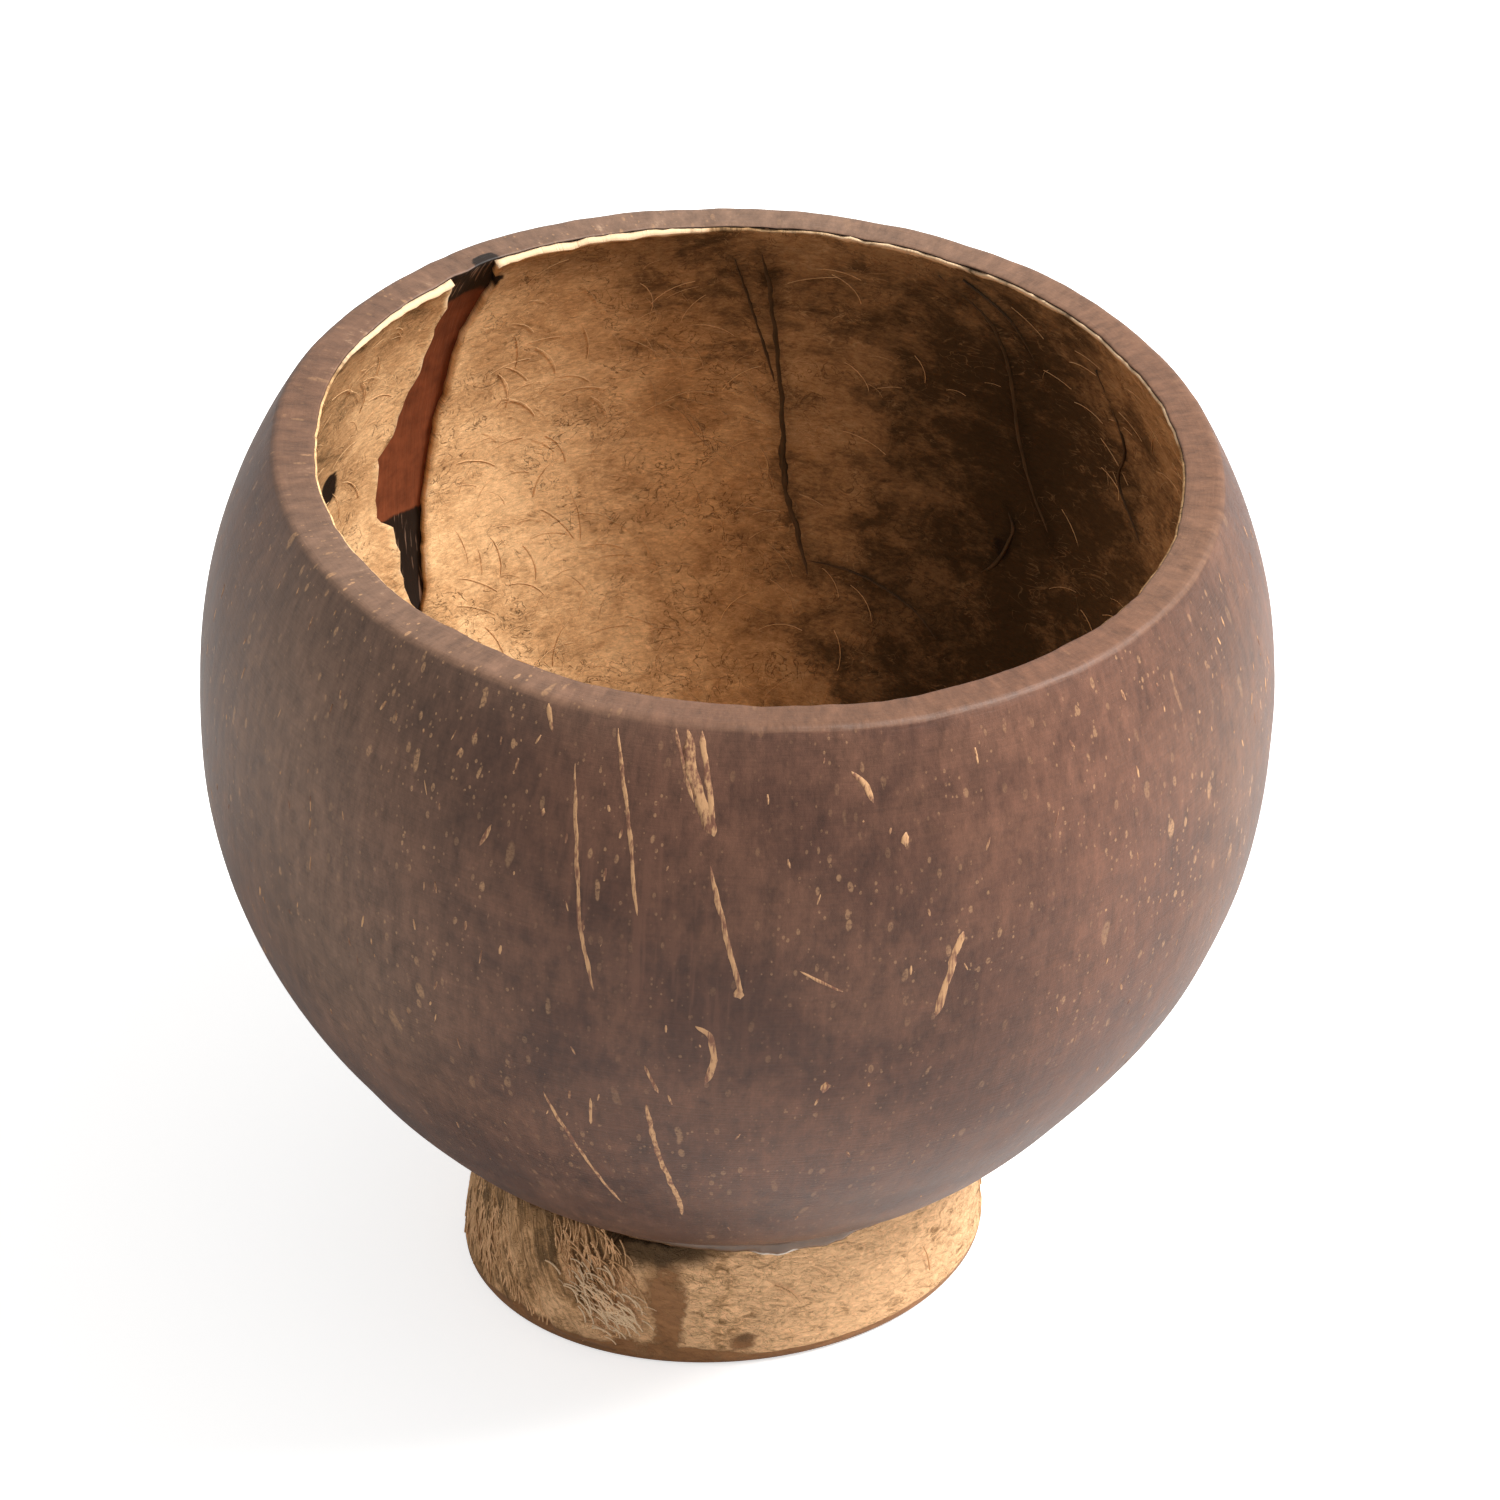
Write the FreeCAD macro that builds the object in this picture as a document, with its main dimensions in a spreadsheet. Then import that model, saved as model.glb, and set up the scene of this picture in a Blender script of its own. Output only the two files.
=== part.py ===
# Coconut shell cup standing on a foot cut from a second piece of shell.
# The bowl leans a little on its foot, so its mouth slopes. The shell's own
# papery lining is still inside it, with one strip peeled away down to the
# shell. The foot is an out-of-round slice of shell, hollowed to the bowl's
# round bottom and glued to it.
# Frame: +Z up, the table at z = 0, the front of the cup towards -Y.

import FreeCAD, Part

import math
import os

import Sketcher

SIZES = (
    # name, value in millimetres or degrees, what it measures
    ("bowl_diameter", 120.0, "outer width of the shell at its widest level"),
    ("belt_height", 2.4, "height of the straight belt at the widest level"),
    ("bottom_drop", 6.8, "how far the blunt bottom's centre lies below the flank's"),
    ("bottom_set_in", 4.0, "how much smaller the bottom's radius is than the flank's"),
    ("shell_wall", 3.5, "thickness of the hard shell"),
    ("mouth_height", 31.6, "mouth above the belt's lower edge, along the bowl's axis"),
    ("rim_round", 1.2, "rounding of the rim's outer edge"),
    ("bowl_lean", 3.3, "lean of the bowl's axis from upright, degrees"),
    ("lean_bearing", -41.0, "bearing that the bowl leans towards, degrees from +X"),
    ("lining_thickness", 0.4, "thickness of the papery lining"),
    ("lining_stop", 0.5, "bare band between the rim and the lining's edge"),
    ("peel_bearing", 131.5, "bearing of the peeled strip, degrees from +X"),
    ("peel_top_width", 7.5, "width of the peeled strip at the rim"),
    ("peel_end_width", 8.2, "width of the peeled strip at its lower end"),
    ("peel_sidestep", 4.4, "sideways run of the strip from the rim to its lower end"),
    ("peel_end_level", -1.5, "level of the strip's lower end against the belt's lower edge"),
    ("slot_width", 3.3, "width of the narrow tear below the strip"),
    ("slot_end_level", -11.5, "level where the tear's round end starts"),
    ("foot_height", 14.9, "height of the foot's outer top edge above the table"),
    ("foot_breadth", 55.8, "short outer diameter of the foot at the table"),
    ("foot_extra_length", 5.2, "how much more its long diameter measures there"),
    ("foot_turn", 30.0, "bearing of the foot's long diameter, degrees from +X"),
    ("foot_left", 1.1, "how far the foot's base is off the neck's centre, towards -X"),
    ("foot_forward", 1.45, "how far the foot's base is off the neck's centre, towards -Y"),
    ("neck_diameter", 54.4, "outer diameter of the foot where it meets the bowl"),
    ("foot_wall", 4.0, "thickness of the foot's shell"),
    ("foot_edge_bevel", 1.4, "bevel sanded on the foot's outer edge at the table"),
    ("glue_gap", 0.4, "thickness of the glue between bowl and foot"),
    ("glue_bead", 1.1, "width of the glue squeezed out at each edge of the foot's seat"),
)

# Stock left above a cut, and a cutter's reach past the stock.
OVERCUT = 2.0

# Sizes that follow from the sheet.
FLANK_RADIUS = "(Sizes.bowl_diameter / 2)"
BOTTOM_RADIUS = f"({FLANK_RADIUS} - Sizes.bottom_set_in)"
SEAT_RADIUS = f"({BOTTOM_RADIUS} + Sizes.glue_gap)"
NECK_RADIUS = "(Sizes.neck_diameter / 2)"
SEAT_CENTRE_HEIGHT = f"(Sizes.foot_height + sqrt({SEAT_RADIUS} ^ 2 - {NECK_RADIUS} ^ 2))"
SEAT_OFFSET = "(-Sizes.bottom_drop * sin(Sizes.bowl_lean * 1 deg))"
SEAT_CENTRE_X = f"({SEAT_OFFSET} * cos(Sizes.lean_bearing * 1 deg))"
SEAT_CENTRE_Y = f"({SEAT_OFFSET} * sin(Sizes.lean_bearing * 1 deg))"
BELT_LEVEL = f"({SEAT_CENTRE_HEIGHT} + Sizes.bottom_drop * cos(Sizes.bowl_lean * 1 deg))"
PEEL_STOCK_TOP = f"(Sizes.mouth_height + {OVERCUT})"
FOOT_STOCK_TOP = f"(Sizes.foot_height + {OVERCUT})"
FOOT_SHORT_RADIUS = "(Sizes.foot_breadth / 2)"
FOOT_LONG_RADIUS = "(Sizes.foot_breadth / 2 + Sizes.foot_extra_length / 2)"
FOOT_MEAN_RADIUS = "(Sizes.foot_breadth / 2 + Sizes.foot_extra_length / 4)"

# The foot's outline is set at this many levels, evenly spaced from table to neck.
FOOT_LEVELS = 4

# Edges this near to the table's level lie on it.
ON_TABLE = 0.001

doc = FreeCAD.newDocument("CoconutCup")


def write_sizes():
    """Put every driving size in the sheet under its own name."""
    sheet = doc.addObject("Spreadsheet::Sheet", "Sizes")
    for row, (name, value, meaning) in enumerate(SIZES, start=1):
        sheet.set(f"A{row}", name)
        sheet.set(f"B{row}", str(value))
        sheet.set(f"C{row}", meaning)
        sheet.setAlias(f"B{row}", name)
    doc.recompute()
    return sheet


sizes = write_sizes()


def worked_out(expression):
    """The number that an expression on the sheet gives."""
    return float(sizes.evalExpression(expression))


def origin_plane(body, role):
    """One of a body's own origin planes."""
    for feature in body.Origin.OriginFeatures:
        if feature.Role == role:
            return feature
    raise RuntimeError(f"{body.Label} has no {role}")


def new_sketch(body, name, role):
    """An empty sketch on one of the body's own origin planes."""
    sketch = body.newObject("Sketcher::SketchObject", name)
    sketch.AttachmentSupport = (origin_plane(body, role), [""])
    sketch.MapMode = "FlatFace"
    return sketch


def drive(sketch, kind, *operands, by):
    """Add a dimension to a sketch and bind it to an expression."""
    index = sketch.addConstraint(Sketcher.Constraint(kind, *operands, worked_out(by)))
    sketch.setExpression(f"Constraints[{index}]", by)


def tie(sketch, kind, *operands):
    """Add a constraint that holds no dimension."""
    sketch.addConstraint(Sketcher.Constraint(kind, *operands))


def arc(centre_x, centre_y, radius, start, end):
    """A circle's arc, anticlockwise between two angles in radians."""
    centre = FreeCAD.Vector(centre_x, centre_y, 0)
    return Part.ArcOfCircle(Part.Circle(centre, FreeCAD.Vector(0, 0, 1), radius), start, end)


def segment(start_x, start_y, end_x, end_y):
    """A straight edge of a sketch."""
    return Part.LineSegment(FreeCAD.Vector(start_x, start_y, 0), FreeCAD.Vector(end_x, end_y, 0))


# Numbers by which a sketch names its origin, its axes and an edge's points.
ORIGIN = (-1, 1)
ACROSS, UPRIGHT = -1, -2
START, END, CENTRE = 1, 2, 3


def shell_side(sketch, inset, top, rounding):
    """One side of a bowl-shaped layer's section, from the pole up to its top level.

    A blunt bottom arc, a short cone, the flank, a straight belt, the shoulder
    and, where it has one, the rim's rounding follow each other, tangent all
    the way. The long arcs are centred on the axis, so an inset side keeps an
    even distance from the outer one.
    """
    drop = worked_out("Sizes.bottom_drop")
    belt = worked_out("Sizes.belt_height")
    flank_radius = worked_out(f"{FLANK_RADIUS} - {inset}")
    bottom_radius = worked_out(f"{BOTTOM_RADIUS} - {inset}")
    slope = -math.asin(worked_out("Sizes.bottom_set_in") / drop)
    rim_radius = worked_out(rounding)
    rim_level = worked_out(top) - rim_radius
    top_angle = math.asin((rim_level - belt) / (flank_radius - rim_radius))
    bottom = sketch.addGeometry(arc(0, -drop, bottom_radius, -math.pi / 2, slope))
    flank_curve = arc(0, 0, flank_radius, slope, 0)
    cone_foot = sketch.getPoint(bottom, END)
    cone_head = flank_curve.StartPoint
    cone = sketch.addGeometry(segment(cone_foot.x, cone_foot.y, cone_head.x, cone_head.y))
    flank = sketch.addGeometry(flank_curve)
    side = sketch.addGeometry(segment(flank_radius, 0, flank_radius, belt))
    shoulder = sketch.addGeometry(arc(0, belt, flank_radius, 0, top_angle))
    tie(sketch, "PointOnObject", bottom, START, UPRIGHT)
    tie(sketch, "PointOnObject", bottom, CENTRE, UPRIGHT)
    tie(sketch, "Coincident", flank, CENTRE, *ORIGIN)
    tie(sketch, "Vertical", side)
    tie(sketch, "PointOnObject", shoulder, CENTRE, UPRIGHT)
    for lower, upper in ((bottom, cone), (cone, flank), (flank, side), (side, shoulder)):
        tie(sketch, "Tangent", lower, END, upper, START)
    drive(sketch, "DistanceY", bottom, CENTRE, *ORIGIN, by="Sizes.bottom_drop")
    drive(sketch, "Radius", bottom, by=f"{BOTTOM_RADIUS} - {inset}")
    drive(sketch, "Radius", flank, by=f"{FLANK_RADIUS} - {inset}")
    drive(sketch, "DistanceY", side, START, side, END, by="Sizes.belt_height")
    if not rim_radius:
        drive(sketch, "DistanceY", *ORIGIN, shoulder, END, by=top)
        return bottom, shoulder
    rim_centre = (flank_radius - rim_radius) * math.cos(top_angle)
    rim = sketch.addGeometry(arc(rim_centre, rim_level, rim_radius, top_angle, math.pi / 2))
    tie(sketch, "Tangent", shoulder, END, rim, START)
    drive(sketch, "Radius", rim, by=rounding)
    drive(sketch, "DistanceY", *ORIGIN, rim, END, by=top)
    return bottom, rim


def shell_section(body, name, outer_inset, inner_inset, top, rounding="0"):
    """Half the section of a bowl-shaped layer, between two insets from the outer shell.

    The layer ends in a level land at its top, rounded over on the outside if
    a radius is given.
    """
    sketch = new_sketch(body, name, "XZ_Plane")
    outer_bottom, outer_top = shell_side(sketch, outer_inset, top, rounding)
    inner_bottom, inner_top = shell_side(sketch, inner_inset, top, "0")
    rounded = worked_out(rounding) > 0
    ends = (
        (outer_bottom, inner_bottom, START, "Coincident"),
        (outer_top, inner_top, END, "Tangent" if rounded else "Coincident"),
    )
    for outer, inner, point, joint in ends:
        start, finish = [sketch.getPoint(edge, point) for edge in (outer, inner)]
        closing = sketch.addGeometry(segment(start.x, start.y, finish.x, finish.y))
        tie(sketch, joint, closing, START, outer, point)
        tie(sketch, "Coincident", closing, END, inner, point)
    return sketch


def revolve(body, name, sketch):
    """Turn a section once round its own upright axis."""
    turned = body.newObject("PartDesign::Revolution", name)
    turned.Profile = sketch
    turned.ReferenceAxis = (sketch, ["V_Axis"])
    turned.Angle = 360
    return turned


def lean_with_bowl(body):
    """Stand a bowl-shaped body at the belt's level, leaning as the bowl does."""
    body.setExpression("Placement.Base.z", BELT_LEVEL)
    body.setExpression("Placement.Rotation.Axis.x", "-sin(Sizes.lean_bearing * 1 deg)")
    body.setExpression("Placement.Rotation.Axis.y", "cos(Sizes.lean_bearing * 1 deg)")
    body.setExpression("Placement.Rotation.Axis.z", "0")
    body.setExpression("Placement.Rotation.Angle", "Sizes.bowl_lean * 1 deg")


def new_body(label):
    """An empty body whose label is its piece's name."""
    body = doc.addObject("PartDesign::Body", label)
    body.Label = label
    return body


def make_bowl_shell():
    """The hard shell: an even wall, open at the mouth, its outer rim rounded."""
    body = new_body("bowl_shell")
    section = shell_section(body, "ShellSection", "0", "Sizes.shell_wall",
                            "Sizes.mouth_height", rounding="Sizes.rim_round")
    revolve(body, "Shell", section)
    lean_with_bowl(body)
    return body


def peel_outline(body):
    """The peeled strip and the tear below it, on a plane facing the strip.

    The plane stands on the bowl's axis. Its x runs to the right as seen from
    inside the bowl.
    """
    sketch = new_sketch(body, "PeelOutline", "XZ_Plane")
    sketch.setExpression("AttachmentOffset.Rotation.Axis.x", "0")
    sketch.setExpression("AttachmentOffset.Rotation.Axis.y", "1")
    sketch.setExpression("AttachmentOffset.Rotation.Axis.z", "0")
    sketch.setExpression("AttachmentOffset.Rotation.Angle", "(Sizes.peel_bearing - 90) * 1 deg")
    half_step = worked_out("Sizes.peel_sidestep / 2")
    half_top = worked_out("Sizes.peel_top_width / 2")
    half_end = worked_out("Sizes.peel_end_width / 2")
    half_slot = worked_out("Sizes.slot_width / 2")
    top = worked_out(PEEL_STOCK_TOP)
    end = worked_out("Sizes.peel_end_level")
    slot_end = worked_out("Sizes.slot_end_level")
    corners = [
        (half_step - half_top, top),
        (-half_step - half_end, end),
        (-half_slot, end),
        (-half_slot, slot_end),
        (half_slot, slot_end),
        (half_slot, end),
        (-half_step + half_end, end),
        (half_step + half_top, top),
    ]
    left, left_sill, slot_left, slot_round, slot_right, right_sill, right, upper = range(8)
    for index, start in enumerate(corners):
        finish = corners[(index + 1) % len(corners)]
        if index == slot_round:
            sketch.addGeometry(arc(0, slot_end, half_slot, math.pi, 2 * math.pi))
        else:
            sketch.addGeometry(segment(*start, *finish))
    for index in range(len(corners)):
        smooth = index in (slot_left, slot_round)
        kind = "Tangent" if smooth else "Coincident"
        tie(sketch, kind, index, END, (index + 1) % len(corners), START)
    for flat in (left_sill, right_sill, upper):
        tie(sketch, "Horizontal", flat)
    tie(sketch, "Vertical", slot_left)
    tie(sketch, "PointOnObject", slot_round, CENTRE, UPRIGHT)
    drive(sketch, "DistanceY", *ORIGIN, slot_round, CENTRE, by="Sizes.slot_end_level")
    drive(sketch, "Radius", slot_round, by="Sizes.slot_width / 2")
    drive(sketch, "DistanceY", *ORIGIN, left, END, by="Sizes.peel_end_level")
    tie(sketch, "Horizontal", left, END, right, START)
    drive(sketch, "DistanceY", *ORIGIN, left, START, by=PEEL_STOCK_TOP)
    drive(sketch, "DistanceX", left, START, right, END, by="Sizes.peel_top_width")
    drive(sketch, "DistanceX", left, END, right, START, by="Sizes.peel_end_width")
    drive(sketch, "DistanceX", *ORIGIN, right, END, by="(Sizes.peel_sidestep + Sizes.peel_top_width) / 2")
    drive(sketch, "DistanceX", left, END, *ORIGIN, by="(Sizes.peel_sidestep + Sizes.peel_end_width) / 2")
    return sketch


def make_inner_lining():
    """The papery lining, lying on the shell's inside, with the peeled strip open."""
    body = new_body("inner_lining")
    section = shell_section(body, "LiningSection", "Sizes.shell_wall",
                            "(Sizes.shell_wall + Sizes.lining_thickness)",
                            "(Sizes.mouth_height - Sizes.lining_stop)")
    lining = revolve(body, "Lining", section)
    outline = peel_outline(body)
    doc.recompute()
    peel = body.newObject("PartDesign::Pocket", "Peel")
    peel.Profile = outline
    peel.Type = "ThroughAll"
    body.Tip = peel
    doc.recompute()
    if peel.Shape.Volume >= lining.Shape.Volume:
        raise RuntimeError("the peeled strip took nothing from the lining")
    lean_with_bowl(body)
    return body


def foot_outline(body, name, height, rise, across):
    """An outline of the foot, at a height above the table.

    The rise is 0 at the table and 1 at the neck, and carries the outline's
    centre from the base's to the neck's. One radius makes a circle, two make
    an ellipse.
    """
    sketch = new_sketch(body, name, "XY_Plane")
    sketch.setExpression("AttachmentOffset.Base.x", f"-Sizes.foot_left * (1 - {rise})")
    sketch.setExpression("AttachmentOffset.Base.y", f"-Sizes.foot_forward * (1 - {rise})")
    sketch.setExpression("AttachmentOffset.Base.z", height)
    sketch.setExpression("AttachmentOffset.Rotation.Axis.x", "0")
    sketch.setExpression("AttachmentOffset.Rotation.Axis.y", "0")
    sketch.setExpression("AttachmentOffset.Rotation.Axis.z", "1")
    sketch.setExpression("AttachmentOffset.Rotation.Angle", "Sizes.foot_turn * 1 deg")
    radii = [worked_out(radius) for radius in across]
    middle = FreeCAD.Vector()
    if len(across) == 1:
        sketch.addGeometry(Part.Circle(middle, FreeCAD.Vector(0, 0, 1), radii[0]))
        tie(sketch, "Coincident", 0, CENTRE, *ORIGIN)
        drive(sketch, "Radius", 0, by=across[0])
        return sketch
    long_end = FreeCAD.Vector(radii[0], 0, 0)
    short_end = FreeCAD.Vector(0, radii[1], 0)
    sketch.addGeometry(Part.Ellipse(long_end, short_end, middle))
    sketch.exposeInternalGeometry(0)
    long_axis, short_axis = 1, 2
    tie(sketch, "Coincident", 0, CENTRE, *ORIGIN)
    tie(sketch, "Horizontal", long_axis)
    drive(sketch, "Distance", long_axis, by=f"2 * {across[0]}")
    drive(sketch, "Distance", short_axis, by=f"2 * {across[1]}")
    return sketch


def foot_loft(body, kind, name, inset):
    """The foot's outside, or its hollow, lofted through outlines up its height.

    Like any slice of a round shell, the foot stands upright at the table and
    draws in with the square of the height. It is out of round at the table and
    round at the neck, and its stock runs on a little way above the neck.
    """

    def radius(base, rise):
        return f"({base} * (1 - {rise}) + {NECK_RADIUS} * {rise} - {inset})"

    outlines = []
    for level in range(FOOT_LEVELS - 1):
        share = level / (FOOT_LEVELS - 1)
        across = [radius(base, share ** 2) for base in (FOOT_LONG_RADIUS, FOOT_SHORT_RADIUS)]
        height = f"Sizes.foot_height * {share}"
        outlines.append(foot_outline(body, f"{name}{level}", height, share ** 2, across))
    across = [f"({NECK_RADIUS} - {inset})"]
    outlines.append(foot_outline(body, f"{name}Neck", "Sizes.foot_height", 1, across))
    past_neck = f"({FOOT_STOCK_TOP} / Sizes.foot_height) ^ 2"
    across = [radius(FOOT_MEAN_RADIUS, past_neck)]
    outlines.append(foot_outline(body, f"{name}Top", FOOT_STOCK_TOP, 1, across))
    doc.recompute()
    loft = body.newObject(kind, name)
    loft.Profile = outlines[0]
    loft.Sections = outlines[1:]
    doc.recompute()
    return loft


def seat_section(body):
    """Half a disc whose turn about the neck's axis is the bowl's bottom and its glue."""
    sketch = new_sketch(body, "SeatSection", "XZ_Plane")
    height = worked_out(SEAT_CENTRE_HEIGHT)
    radius = worked_out(SEAT_RADIUS)
    sketch.addGeometry(arc(0, height, radius, -math.pi / 2, math.pi / 2))
    sketch.addGeometry(segment(0, height + radius, 0, height - radius))
    tie(sketch, "Coincident", 0, END, 1, START)
    tie(sketch, "Coincident", 1, END, 0, START)
    tie(sketch, "PointOnObject", 0, CENTRE, UPRIGHT)
    tie(sketch, "PointOnObject", 0, START, UPRIGHT)
    tie(sketch, "PointOnObject", 0, END, UPRIGHT)
    drive(sketch, "DistanceY", *ORIGIN, 0, CENTRE, by=SEAT_CENTRE_HEIGHT)
    drive(sketch, "Radius", 0, by=SEAT_RADIUS)
    return sketch


def make_foot_ring():
    """The foot: a slice of shell, open below, hollowed above to seat the bowl."""
    body = new_body("foot_ring")
    foot_loft(body, "PartDesign::AdditiveLoft", "Outside", "0")
    foot_loft(body, "PartDesign::SubtractiveLoft", "Hollow", "Sizes.foot_wall")
    sketch = seat_section(body)
    doc.recompute()
    seat = body.newObject("PartDesign::Groove", "Seat")
    seat.Profile = sketch
    seat.ReferenceAxis = (sketch, ["V_Axis"])
    seat.Angle = 360
    body.Tip = seat
    doc.recompute()
    on_table = {}
    for number, edge in enumerate(seat.Shape.Edges, start=1):
        if edge.BoundBox.ZMax < ON_TABLE:
            on_table[edge.Length] = f"Edge{number}"
    bevel = body.newObject("PartDesign::Chamfer", "WornEdge")
    bevel.Base = (seat, [on_table[max(on_table)]])
    bevel.setExpression("Size", "Sizes.foot_edge_bevel")
    body.Tip = bevel
    body.setExpression("Placement.Base.x", SEAT_CENTRE_X)
    body.setExpression("Placement.Base.y", SEAT_CENTRE_Y)
    return body


def glue_section(body):
    """Section of the glue: a band under the bowl, thick enough to fill both corners.

    The origin is the centre of the bowl's bottom. The band reaches past each
    edge of the foot's seat by the bead's width, and slants from there down to
    the seat's edge. The foot cuts away what lies in its own wall.
    """
    sketch = new_sketch(body, "GlueSection", "XZ_Plane")
    outer_edge, inner_edge = NECK_RADIUS, f"({NECK_RADIUS} - Sizes.foot_wall)"
    roof_radius, floor_radius = BOTTOM_RADIUS, f"({SEAT_RADIUS} + Sizes.glue_bead)"
    bands = (
        (roof_radius, f"{inner_edge} - Sizes.glue_bead", f"{outer_edge} + Sizes.glue_bead"),
        (floor_radius, inner_edge, outer_edge),
    )
    for radius, inner, outer in bands:
        reach = worked_out(radius)
        angles = [-math.acos(worked_out(edge) / reach) for edge in (inner, outer)]
        band = sketch.addGeometry(arc(0, 0, reach, *angles))
        tie(sketch, "Coincident", band, CENTRE, *ORIGIN)
        drive(sketch, "Radius", band, by=radius)
        drive(sketch, "DistanceX", *ORIGIN, band, START, by=inner)
        drive(sketch, "DistanceX", *ORIGIN, band, END, by=outer)
    roof, floor = 0, 1
    for point in (START, END):
        high, low = sketch.getPoint(roof, point), sketch.getPoint(floor, point)
        slant = sketch.addGeometry(segment(high.x, high.y, low.x, low.y))
        tie(sketch, "Coincident", slant, START, roof, point)
        tie(sketch, "Coincident", slant, END, floor, point)
    return sketch


def make_glue_seam(foot):
    """The glue that holds bowl and foot: what its turned section has outside the foot."""
    blank = new_body("glue_blank")
    section = glue_section(blank)
    revolve(blank, "Glue", section)
    blank.setExpression("Placement.Base.x", SEAT_CENTRE_X)
    blank.setExpression("Placement.Base.y", SEAT_CENTRE_Y)
    blank.setExpression("Placement.Base.z", SEAT_CENTRE_HEIGHT)
    seam = doc.addObject("Part::Cut", "glue_seam")
    seam.Label = "glue_seam"
    seam.Base = blank
    seam.Tool = foot
    return seam


def check_document(pieces):
    """Stop unless every feature was worked out and every piece is one sound solid."""
    for item in doc.Objects:
        if "Invalid" in item.State or "Error" in item.State:
            raise RuntimeError(f"{item.Label} failed: {item.State}")
    for piece in pieces:
        shape = piece.Shape
        if shape.isNull() or not shape.isValid():
            raise RuntimeError(f"{piece.Label} has no sound shape")
        if len(shape.Solids) != 1:
            raise RuntimeError(f"{piece.Label} has {len(shape.Solids)} solids")


def main():
    """Build the four pieces, check them and write one file for each."""
    bowl = make_bowl_shell()
    lining = make_inner_lining()
    foot = make_foot_ring()
    glue = make_glue_seam(foot)
    pieces = (bowl, lining, foot, glue)
    doc.recompute()
    check_document(pieces)
    os.makedirs("parts", exist_ok=True)
    for piece in pieces:
        piece.Shape.exportStep(f"parts/{piece.Label}.step")
        box = piece.Shape.BoundBox
        print(f"{piece.Label}: {piece.Shape.Volume:.1f} mm3, "
              f"x {box.XMin:.2f} to {box.XMax:.2f}, y {box.YMin:.2f} to {box.YMax:.2f}, "
              f"z {box.ZMin:.2f} to {box.ZMax:.2f}")


main()
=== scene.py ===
"""Coconut shell cup, sanded outside and papery inside, glued to a foot of raw shell."""

import functools
import math
import random

import bmesh
import bpy
from mathutils import Matrix, Vector, noise


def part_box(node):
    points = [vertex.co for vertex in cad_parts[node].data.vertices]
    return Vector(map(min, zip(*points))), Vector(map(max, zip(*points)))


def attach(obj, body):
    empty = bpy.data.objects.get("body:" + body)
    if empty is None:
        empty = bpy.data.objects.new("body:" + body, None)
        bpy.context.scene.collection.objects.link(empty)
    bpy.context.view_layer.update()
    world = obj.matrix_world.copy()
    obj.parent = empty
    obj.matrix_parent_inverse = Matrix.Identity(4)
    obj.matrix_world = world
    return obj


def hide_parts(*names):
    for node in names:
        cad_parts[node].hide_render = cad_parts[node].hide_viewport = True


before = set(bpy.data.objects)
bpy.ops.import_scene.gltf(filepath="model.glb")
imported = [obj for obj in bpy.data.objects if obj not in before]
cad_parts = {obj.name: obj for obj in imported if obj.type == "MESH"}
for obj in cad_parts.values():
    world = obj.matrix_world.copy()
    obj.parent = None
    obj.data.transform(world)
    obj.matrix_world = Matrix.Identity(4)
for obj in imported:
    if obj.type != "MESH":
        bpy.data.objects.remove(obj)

bl_info = {
    "name": "Coconut Shell Cup",
    "version": (1, 0, 0),
    "blender": (4, 5, 0),
    "location": "3D View > Sidebar > Coconut Cup",
    "description": "Builds a sanded coconut shell cup on its foot, piece by piece",
    "category": "Add Mesh",
}

MM = 0.001
BODY = "root"
BOWL_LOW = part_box("bowl_shell")[0]

# The photograph's frame, and where in it the point on the axis half-way up the cup lies.
PHOTO_PIXELS = 1500
AIM_ACROSS_PIXELS = 735.85
AIM_DOWN_PIXELS = 854.24

# The peeled strip inside, from the rim down: level in millimetres, bearings of both edges.
PEEL_EDGES = (
    (33.0, 134.6, 126.6),
    (27.0, 132.4, 124.8),
    (20.0, 132.8, 127.0),
    (16.0, 133.4, 127.7),
    (12.5, 134.9, 127.6),
    (7.5, 136.2, 128.6),
    (6.6, 137.9, 128.8),
    (-3.0, 138.0, 130.0),
    (-4.4, 135.0, 130.2),
    (-13.6, 134.4, 130.8),
    (-15.8, 133.6, 131.2),
    (-16.8, 132.4, 132.3),
)

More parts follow.
